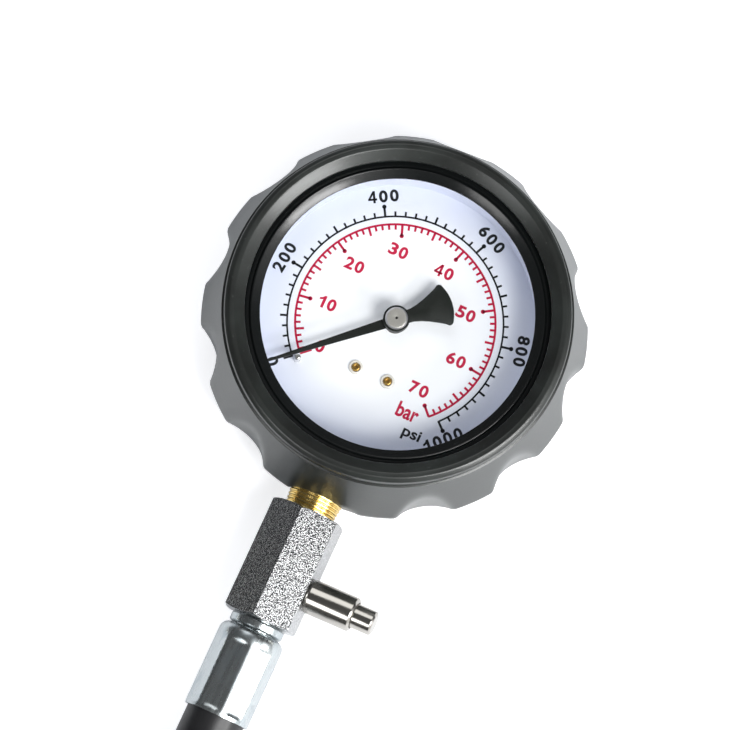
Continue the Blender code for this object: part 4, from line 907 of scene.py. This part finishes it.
def addDialScrew(number, x):
    s = screwSettings
    ring = turnProfile(f"dialScrewRing{number}", roundCorners([
        (s["ringHole"], 19.05), (s["ring"], 19.05), (s["ring"], 19.6, 0.3), (s["ringHole"], 19.7, 0.1)], 4), 48)
    ring.location = (x * mm, s["y"] * mm, 0)
    core = turnProfile(f"dialScrewCore{number}", roundCorners([
        (0, 15.1), (0.8, 15.1), (0.8, 19.2), (s["core"], 19.2), (s["core"], 20.0, 0.35), (0.5, 20.0, 0.12),
        (0.42, 19.3), (0, 19.3)], 4), 48, closed=False)
    core.location = (x * mm, s["y"] * mm, 0)
    for piece in (ring, core):
        activate(piece)
        bpy.ops.object.transform_apply(location=True, rotation=True, scale=True)
    settle(ring, "gauge", "creamRing")
    settle(core, "gauge", "screw", [f"dial_screw_{number}"])


def addStopPin():
    low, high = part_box("stop_pin")
    x = (low[0] + high[0]) / 2 / mm
    y = (low[1] + high[1]) / 2 / mm
    pin = turnProfile("zeroStop", roundCorners([
        (0, 18.3), (0.6, 18.3), (0.6, 19.05), (0.9, 19.1), (0.9, 23.4), (0.62, 23.7), (0.88, 24.0, 0.1),
        (0.5, 24.2, 0.2), (0, 24.2)], 4), 40, closed=False)
    pin.location = (x * mm, y * mm, 0)
    activate(pin)
    bpy.ops.object.transform_apply(location=True, rotation=True, scale=True)
    settle(pin, "gauge", "paleRing", ["stop_pin"])


addDialScrew(1, -screwSettings["x"])
addDialScrew(2, screwSettings["x"])
addStopPin()
print("dial screws in")


# pointer

pointerSettings = {
    "angle": 132.3,
    "low": 22.9,
    "thickness": 0.5,
    "length": 36.5,
    "rootHalf": 1.35,
    "tipHalf": 0.35,
    "hub": 3.5,
    "cap": 3.08,
    "capLow": 24.1,
    "capHigh": 26.9,
}


def arcPoints(centre, radius, start, end, steps):
    return [(centre[0] + radius * math.cos(math.radians(start + (end - start) * k / steps)),
             centre[1] + radius * math.sin(math.radians(start + (end - start) * k / steps)))
            for k in range(steps + 1)]


def addPointer():
    s = pointerSettings
    blade = [(-s["rootHalf"], 3.0)] + arcPoints((0, s["length"] - s["tipHalf"]), s["tipHalf"], 180, 0, 8)
    blade += [(s["rootHalf"], 3.0)]
    rightSide = [(1.75, -3.0), (1.85, -4.6), (2.35, -6.6), (3.2, -8.8), (4.25, -11.0), (5.1, -12.6)]
    end = arcPoints((4.7, -13.75), 1.1, 20, -62, 8) + arcPoints((0, -4.9), 11.1, -62, -118, 14)[1:-1]
    end += arcPoints((-4.7, -13.75), 1.1, -118, -200, 8)
    outline = blade + rightSide + end + [(-x, y) for x, y in reversed(rightSide)]
    piece = startChain("needle", [(x * mm, y * mm, (s["low"]) * mm) for x, y in outline]
                       + [(outline[0][0] * mm, outline[0][1] * mm, s["low"] * mm)])
    bpy.ops.mesh.select_all(action="SELECT")
    bpy.ops.mesh.remove_doubles(threshold=1e-7)
    bpy.ops.mesh.edge_face_add()
    bpy.ops.mesh.extrude_region_move(TRANSFORM_OT_translate={"value": (0, 0, s["thickness"] * mm)})
    bpy.ops.mesh.select_all(action="SELECT")
    bpy.ops.mesh.normals_make_consistent(inside=False)
    bpy.ops.object.mode_set(mode="OBJECT")
    hub = turnProfile("needleHub", roundCorners([
        (0, 21.8), (2.08, 21.8), (2.08, 22.85), (s["hub"], 22.85), (s["hub"], 24.0, 0.3), (0, 24.0)], 4), 96,
        closed=False)
    cutWith(piece, hub, "UNION")
    applyModifier(piece, "BEVEL", width=0.06 * mm, segments=2, limit_method="ANGLE",
                  angle_limit=math.radians(60))
    smoothByAngle(piece, 30)
    piece.rotation_euler.z = math.radians(s["angle"])
    activate(piece)
    bpy.ops.object.transform_apply(location=True, rotation=True, scale=True)
    settle(piece, "pointer_set", "pointer", ["pointer"])

    collar = turnProfile("needleCollar", roundCorners([
        (3.12, 23.9), (3.62, 23.9), (3.62, 26.3, 0.15), (3.12, 26.3)], 3), 96)
    settle(collar, "pointer_set", "pointer")

    cap = turnProfile("needleCap", roundCorners([
        (0, s["capHigh"] - 0.7), (0.3, s["capHigh"] - 0.7), (0.34, s["capHigh"], 0.06),
        (s["cap"] - 0.45, s["capHigh"], 0.1), (s["cap"], s["capHigh"] - 0.5, 0.2), (s["cap"], s["capLow"], 0.15),
        (0, s["capLow"])], 4), 96, closed=False)
    settle(cap, "pointer_set", "cap", ["pointer_cap"])


addPointer()
print("pointer on")


# threaded stem

stemSettings = {"wide": 7.75, "narrow": 7.05, "depth": 0.3, "pitch": 1.05, "start": 50.8, "end": 56.25}


def addStemThread():
    s = stemSettings
    rows = 96
    profile = [(0, s["start"])] + [(s["wide"], s["start"] + (s["end"] - s["start"]) * k / rows)
                                   for k in range(rows + 1)] + [(0, s["end"])]
    thread = turnProfile("stemThread", profile, 120, closed=False)
    for vertex in thread.data.vertices:
        reach = math.hypot(vertex.co.x, vertex.co.y) / mm
        if reach < 1:
            continue
        turn = math.atan2(vertex.co.y, vertex.co.x) / (2 * math.pi)
        phase = (vertex.co.z / mm / s["pitch"] + turn) % 1
        rise = min(1, max(0, 1.6 - abs(phase - 0.5) * 3.6))
        along = (vertex.co.z / mm - s["start"]) / (s["end"] - s["start"])
        wanted = s["wide"] + (s["narrow"] - s["wide"]) * along - s["depth"] * (1 - rise)
        vertex.co.x *= wanted / reach
        vertex.co.y *= wanted / reach
    smoothByAngle(thread, 40)
    return settle(thread, "gauge", "brass", placement="stem")


addStemThread()
print("stem threaded")


# valve body and release valve

valveSettings = {"flats": 19.0, "top": 56.3, "bottom": 88.7, "turn": 10.5, "chamfer": 1.1}
releaseSettings = {"barrel": 4.85, "start": 9.8, "end": 23.3, "plunger": 3.45, "headTop": 29.2, "headLow": 17.4}


def addValveBody():
    s = valveSettings
    corner = s["flats"] / math.sqrt(3)
    deselectAll()
    bpy.ops.mesh.primitive_cylinder_add(vertices=6, radius=corner * mm, depth=(s["bottom"] - s["top"]) * mm,
                                        location=(0, 0, (s["bottom"] + s["top"]) / 2 * mm))
    body = bpy.context.active_object
    body.name = "valveHexagon"
    bpy.ops.object.transform_apply(location=True, rotation=True, scale=True)
    body.rotation_euler.z = math.radians(s["turn"])
    bpy.ops.object.transform_apply(location=True, rotation=True, scale=True)
    chamfer = s["chamfer"]
    trim = turnProfile("hexTrim", [
        (0, s["top"] - 0.3), (9.1, s["top"] - 0.3), (corner + 1, s["top"] + chamfer),
        (corner + 1, s["bottom"] - chamfer), (9.1, s["bottom"] + 0.3), (0, s["bottom"] + 0.3)], 120, closed=False)
    cutWith(body, trim, "INTERSECT")
    bores = turnProfile("hexBores", [
        (0, 55), (7.1, 55), (7.1, 69.6), (2.5, 69.6), (2.5, 81.9), (5.5, 81.9), (5.5, 90), (0, 90)], 64,
        closed=False)
    cutWith(body, bores)
    chamber = turnProfile("hexChamber", [(0, -1.3), (3.9, -1.3), (3.9, 13), (0, 13)], 64, closed=False)
    chamber.matrix_world = placements["stem"].inverted() @ placements["valve"]
    cutWith(body, chamber)
    applyModifier(body, "BEVEL", width=0.4 * mm, segments=4, limit_method="ANGLE", angle_limit=math.radians(28))
    smoothByAngle(body, 20)
    applyModifier(body, "WEIGHTED_NORMAL", keep_sharp=True)
    return settle(body, "gauge", "hex", ["valve_body"], "stem")


def addReleaseValve():
    s = releaseSettings
    barrel = turnProfile("releaseBarrel", roundCorners([
        (1.4, 5.0), (3.6, 5.0), (3.6, s["start"]), (s["barrel"] - 0.15, s["start"]),
        (s["barrel"], s["start"] + 0.6, 0.2), (s["barrel"], s["end"] - 0.55, 0.2), (s["barrel"] - 0.5, s["end"], 0.12),
        (3.75, s["end"], 0.1), (3.75, 10.4), (1.4, 10.4)], 4), 96)
    settle(barrel, "gauge", "barrel", ["release_barrel"], "valve")
    plunger = turnProfile("releasePlunger", roundCorners([
        (0, 2.3), (2.6, 2.3), (2.6, 3.5), (1.1, 3.5), (1.1, s["headLow"]), (s["plunger"], s["headLow"]),
        (s["plunger"], s["headTop"] - 0.5, 0.25), (s["plunger"] - 0.5, s["headTop"], 0.2), (0, s["headTop"])], 4),
        80, closed=False)
    settle(plunger, "release_button", "barrel", ["release_plunger"], "valve")


addValveBody()
addReleaseValve()
print("valve built")


# hose fitting

ferruleSettings = {"outer": 9.2, "inner": 8.5, "length": 24.9, "lip": 5.8, "flats": 8, "press": 0.5,
                   "start": 3.6, "end": 24.3, "turn": 14.0}


def shapeFerrule(name):
    s = ferruleSettings
    rows = [(s["outer"], 3.2 + (s["length"] - 3.6) * k / 40) for k in range(40)]
    top = roundCorners([(s["inner"], 0.9), (s["lip"] + 0.1, 0.75, 0.3), (s["lip"], 0.0, 0.2),
                        (s["outer"] - 0.3, 0.0, 2.4), (s["outer"], 3.2)], 7)[1:-1]
    profile = top + rows + [(s["outer"] - 0.15, s["length"]), (s["inner"], s["length"]), (s["inner"], 2.6),
                            (s["inner"] - 0.9, 1.5), (s["lip"], 1.5)]
    ferrule = turnProfile(name, profile, 192)
    pitch = 2 * math.pi / s["flats"]
    for vertex in ferrule.data.vertices:
        reach = math.hypot(vertex.co.x, vertex.co.y) / mm
        height = vertex.co.z / mm
        if reach < s["outer"] - 0.3 or reach > s["outer"] + 0.2:
            continue
        angle = math.atan2(vertex.co.y, vertex.co.x) - math.radians(s["turn"])
        offset = (angle + pitch / 2) % pitch - pitch / 2
        ease = min(1, max(0, (height - s["start"]) / 1.3)) * min(1, max(0, (s["end"] - height) / 1.3))
        ease = ease * ease * (3 - 2 * ease)
        flat = min(reach, (s["outer"] - s["press"]) / math.cos(offset))
        wanted = reach + (flat - reach) * ease
        vertex.co.x *= wanted / reach
        vertex.co.y *= wanted / reach
    smoothByAngle(ferrule, 24)
    return ferrule


def addHoseFitting():
    ferrule = shapeFerrule("hoseFerrule")
    ferrule.location.z = 91.8 * mm
    activate(ferrule)
    bpy.ops.object.transform_apply(location=True, rotation=True, scale=True)
    settle(ferrule, "gauge", "ferrule", ["crimp_ferrule"], "stem")
    nipple = turnProfile("hoseNipple", roundCorners([
        (2.2, 82.2), (5.2, 82.2), (5.2, 89.0), (7.4, 89.0), (7.7, 89.4, 0.2), (7.7, 91.1, 0.2), (7.3, 91.5, 0.1),
        (5.5, 91.5), (5.5, 93.6), (7.6, 93.6), (7.6, 94.4), (2.2, 94.4)], 4), 96)
    settle(nipple, "gauge", "ferrule", ["hose_nipple"], "stem")


addHoseFitting()
print("hose fitting on")


# quick coupler on the hose's far end

couplerSettings = {"sleeve": 10.4, "hexFlats": 17.0, "knurls": 60}


def addCoupler():
    s = couplerSettings
    ferrule = shapeFerrule("farFerrule")
    for vertex in ferrule.data.vertices:
        vertex.co.z = ferruleSettings["length"] * mm - vertex.co.z
    activate(ferrule)
    bpy.ops.object.mode_set(mode="EDIT")
    bpy.ops.mesh.select_all(action="SELECT")
    bpy.ops.mesh.normals_make_consistent(inside=False)
    bpy.ops.object.mode_set(mode="OBJECT")
    settle(ferrule, "gauge", "ferrule", ["end_ferrule"], "coupler")

    deselectAll()
    bpy.ops.mesh.primitive_cylinder_add(vertices=6, radius=s["hexFlats"] / math.sqrt(3) * mm, depth=8 * mm,
                                        location=(0, 0, 29.2 * mm))
    nut = bpy.context.active_object
    nut.name = "couplerNut"
    bpy.ops.object.transform_apply(location=True, rotation=True, scale=True)
    nut.rotation_euler.z = math.radians(-30)
    bpy.ops.object.transform_apply(location=True, rotation=True, scale=True)
    corner = s["hexFlats"] / math.sqrt(3)
    trim = turnProfile("nutTrim", [(0, 25.0), (8.0, 25.0), (corner + 0.6, 26.4), (corner + 0.6, 32.0),
                                   (8.0, 33.4), (0, 33.4)], 96, closed=False)
    cutWith(nut, trim, "INTERSECT")
    stub = turnProfile("couplerStub", [
        (0, 22.3), (7.6, 22.3), (7.6, 23.1), (5.5, 23.1), (5.5, 32.2), (5.2, 32.2), (5.2, 39.2), (0, 39.2)], 64,
        closed=False)
    cutWith(nut, stub, "UNION")
    bore = turnProfile("stubBore", [(0, 19), (2.5, 19), (2.5, 42), (0, 42)], 48, closed=False)
    cutWith(nut, bore)
    applyModifier(nut, "BEVEL", width=0.2 * mm, segments=2, limit_method="ANGLE", angle_limit=math.radians(28))
    smoothByAngle(nut, 25)
    applyModifier(nut, "WEIGHTED_NORMAL", keep_sharp=True)
    settle(nut, "gauge", "coupler", ["coupler_tail"], "coupler")

    body = turnProfile("couplerBody", roundCorners([
        (5.5, 33.5), (9.0, 33.5, 0.4), (9.0, 37.2, 0.4), (7.6, 37.2), (7.6, 58.3), (7.0, 58.3), (7.0, 59.5),
        (7.6, 59.5), (7.6, 61.2, 0.4), (6.0, 61.2, 0.2), (5.5, 60.6), (5.5, 45.2), (2.5, 45.2), (2.5, 39.5),
        (5.5, 39.5)], 4), 96)
    for k in range(6):
        hole = turnProfile("ballHole", [(0, 4.5), (1.3, 4.5), (1.3, 8.6), (0, 8.6)], 24, closed=False)
        hole.matrix_world = (Matrix.Translation((0, 0, 55.7 * mm)) @ Matrix.Rotation(math.radians(60 * k), 4, "Z")
                             @ Matrix.Rotation(math.radians(90), 4, "Y"))
        cutWith(body, hole)
    smoothByAngle(body, 30)
    settle(body, "gauge", "coupler", ["coupler_body"], "coupler")

    rows = 66
    outside = [(s["sleeve"], 39.0 + (57.4 - 39.0) * k / rows) for k in range(rows + 1)]
    profile = roundCorners([(7.9, 58.2), (7.9, 50.3), (9.4, 50.3), (9.4, 38.3, 0.1), (10.0, 38.3, 0.2)], 3)
    profile = profile + outside + roundCorners([(10.3, 57.6), (9.7, 58.2, 0.3), (7.9, 58.2)], 3)[:-1]
    sleeve = turnProfile("couplerSleeve", profile, s["knurls"] * 6)
    for vertex in sleeve.data.vertices:
        reach = math.hypot(vertex.co.x, vertex.co.y) / mm
        height = vertex.co.z / mm
        if reach < s["sleeve"] - 0.05:
            continue
        band = min(1, max(0, (height - 40.9) / 0.4)) * min(1, max(0, (55.1 - height) / 0.4))
        turn = math.atan2(vertex.co.y, vertex.co.x) / (2 * math.pi)
        first = abs(((turn * s["knurls"] + height * 0.9) % 1) - 0.5) * 2
        second = abs(((turn * s["knurls"] - height * 0.9) % 1) - 0.5) * 2
        groove = 0.34 * band * (1 - min(1, 1.6 * min(first, second)))
        for middle in (40.1, 55.9):
            groove += 0.3 * max(0, 1 - abs(height - middle) / 0.35)
        vertex.co.x *= (reach - groove) / reach
        vertex.co.y *= (reach - groove) / reach
    smoothByAngle(sleeve, 30)
    settle(sleeve, "sleeve", "coupler", ["coupler_sleeve"], "coupler")

    ring = turnProfile("couplerRing", roundCorners([(7.1, 58.4), (8.6, 58.4, 0.3), (8.6, 59.4, 0.3), (7.1, 59.4)],
                                                   3), 96)
    settle(ring, "gauge", "steel", ["coupler_stop_ring"], "coupler")


addCoupler()
print("coupler built")


# finishes of the solids that stay

solidFinishes = {
    "case_cup": "case", "lens_gasket": "seal", "socket_stem": "brass", "stem_washer": "copper",
    "bourdon_tube": "bronze", "tube_tip_block": "brass", "link_bar": "brass", "sector_gear": "brass",
    "pinion_arbor": "brass", "hairspring": "bronze", "hairspring_stud": "brass",
    "movement_bottom_plate": "brass", "movement_top_plate": "brass", "release_seal": "seal",
    "coupler_seal": "seal",
}


def dressSolids():
    for name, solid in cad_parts.items():
        finish = solidFinishes.get(name)
        if not finish:
            finish = "brass" if name.startswith(("movement_pillar", "dial_")) else "steel"
        if solid.type != "MESH":
            continue
        if not solid.data.materials:
            solid.data.materials.append(None)
        for index in range(len(solid.material_slots)):
            solid.material_slots[index].material = finishes[finish]


dressSolids()
print("solids dressed")


# floor and light

studioSettings = {
    "floor": -1.6,
    "floorSize": 1.6,
    "floorGlow": 0.55,
    "ambient": (0.43, 0.45, 0.49),
    "roomDark": 0.09,
    "roomBright": 1.0,
    "roomTurn": (0.90, -0.32, 0.30),
    "lamps": (
        ("keyLamp", (345, -175, 600), 260, 260, 3.4),
        ("sideStrip", (370, -135, 250), 230, 90, 1.2),
        ("lowerLeft", (-200, -480, 460), 240, 240, 0.8),
        ("overhead", (-260, 420, 620), 420, 420, 0.9),
    ),
}


def addFloor():
    deselectAll()
    bpy.ops.mesh.primitive_plane_add(size=studioSettings["floorSize"],
                                     location=(0, 0, (studioSettings["floor"] - 0.05) * mm))
    floor = bpy.context.active_object
    floor.name = "paleFloor"
    sheet = Sheet("floorWhite", (0.86, 0.86, 0.87), 0.7)
    sheet.shader.inputs["Emission Strength"].default_value = studioSettings["floorGlow"]
    sheet.link("Emission Color", sheet.blend(sheet.ray("Camera", "Transmission"), (0.0, 0.0, 0.0),
                                             (1.0, 1.0, 1.0)))
    floor.data.materials.append(sheet.material)


def addLamp(name, place, width, height, power):
    data = bpy.data.lights.new(name, "AREA")
    data.energy = power
    data.shape = "RECTANGLE"
    data.size = width * mm
    data.size_y = height * mm
    lamp = bpy.data.objects.new(name, data)
    bpy.context.scene.collection.objects.link(lamp)
    lamp.location = Vector(place) * mm
    lamp.rotation_euler = (-lamp.location).to_track_quat("-Z", "Y").to_euler()


def addWorld():  # white behind the object, brighter on the lamps' side where metal mirrors it
    s = studioSettings
    world = bpy.data.worlds.new("studioWorld")
    bpy.context.scene.world = world
    world.use_nodes = True
    sheet = Nodes(world.node_tree)
    way = sheet.node("ShaderNodeTexCoord", output="Generated")
    facing = sheet.node("ShaderNodeVectorMath", {"operation": "DOT_PRODUCT"}, {0: way, 1: s["roomTurn"]},
                        output="Value")
    room = sheet.steps(facing, 0.6, 0.99, s["roomDark"], s["roomBright"])
    seen = sheet.ray("Camera", "Transmission")
    mirrored = sheet.ray("Glossy")
    lit = sheet.blend(mirrored, s["ambient"], (1.0, 1.0, 1.0))
    background = world.node_tree.nodes["Background"]
    sheet.feed(background.inputs["Color"], sheet.blend(seen, lit, (1.0, 1.0, 1.0)))
    sheet.feed(background.inputs["Strength"], seen + (1 - seen) * (mirrored * room + (1 - mirrored)))


addFloor()
for lamp in studioSettings["lamps"]:
    addLamp(*lamp)
addWorld()
bpy.context.scene.view_settings.view_transform = "Standard"
print("studio lit")

bpy.context.view_layer.update()
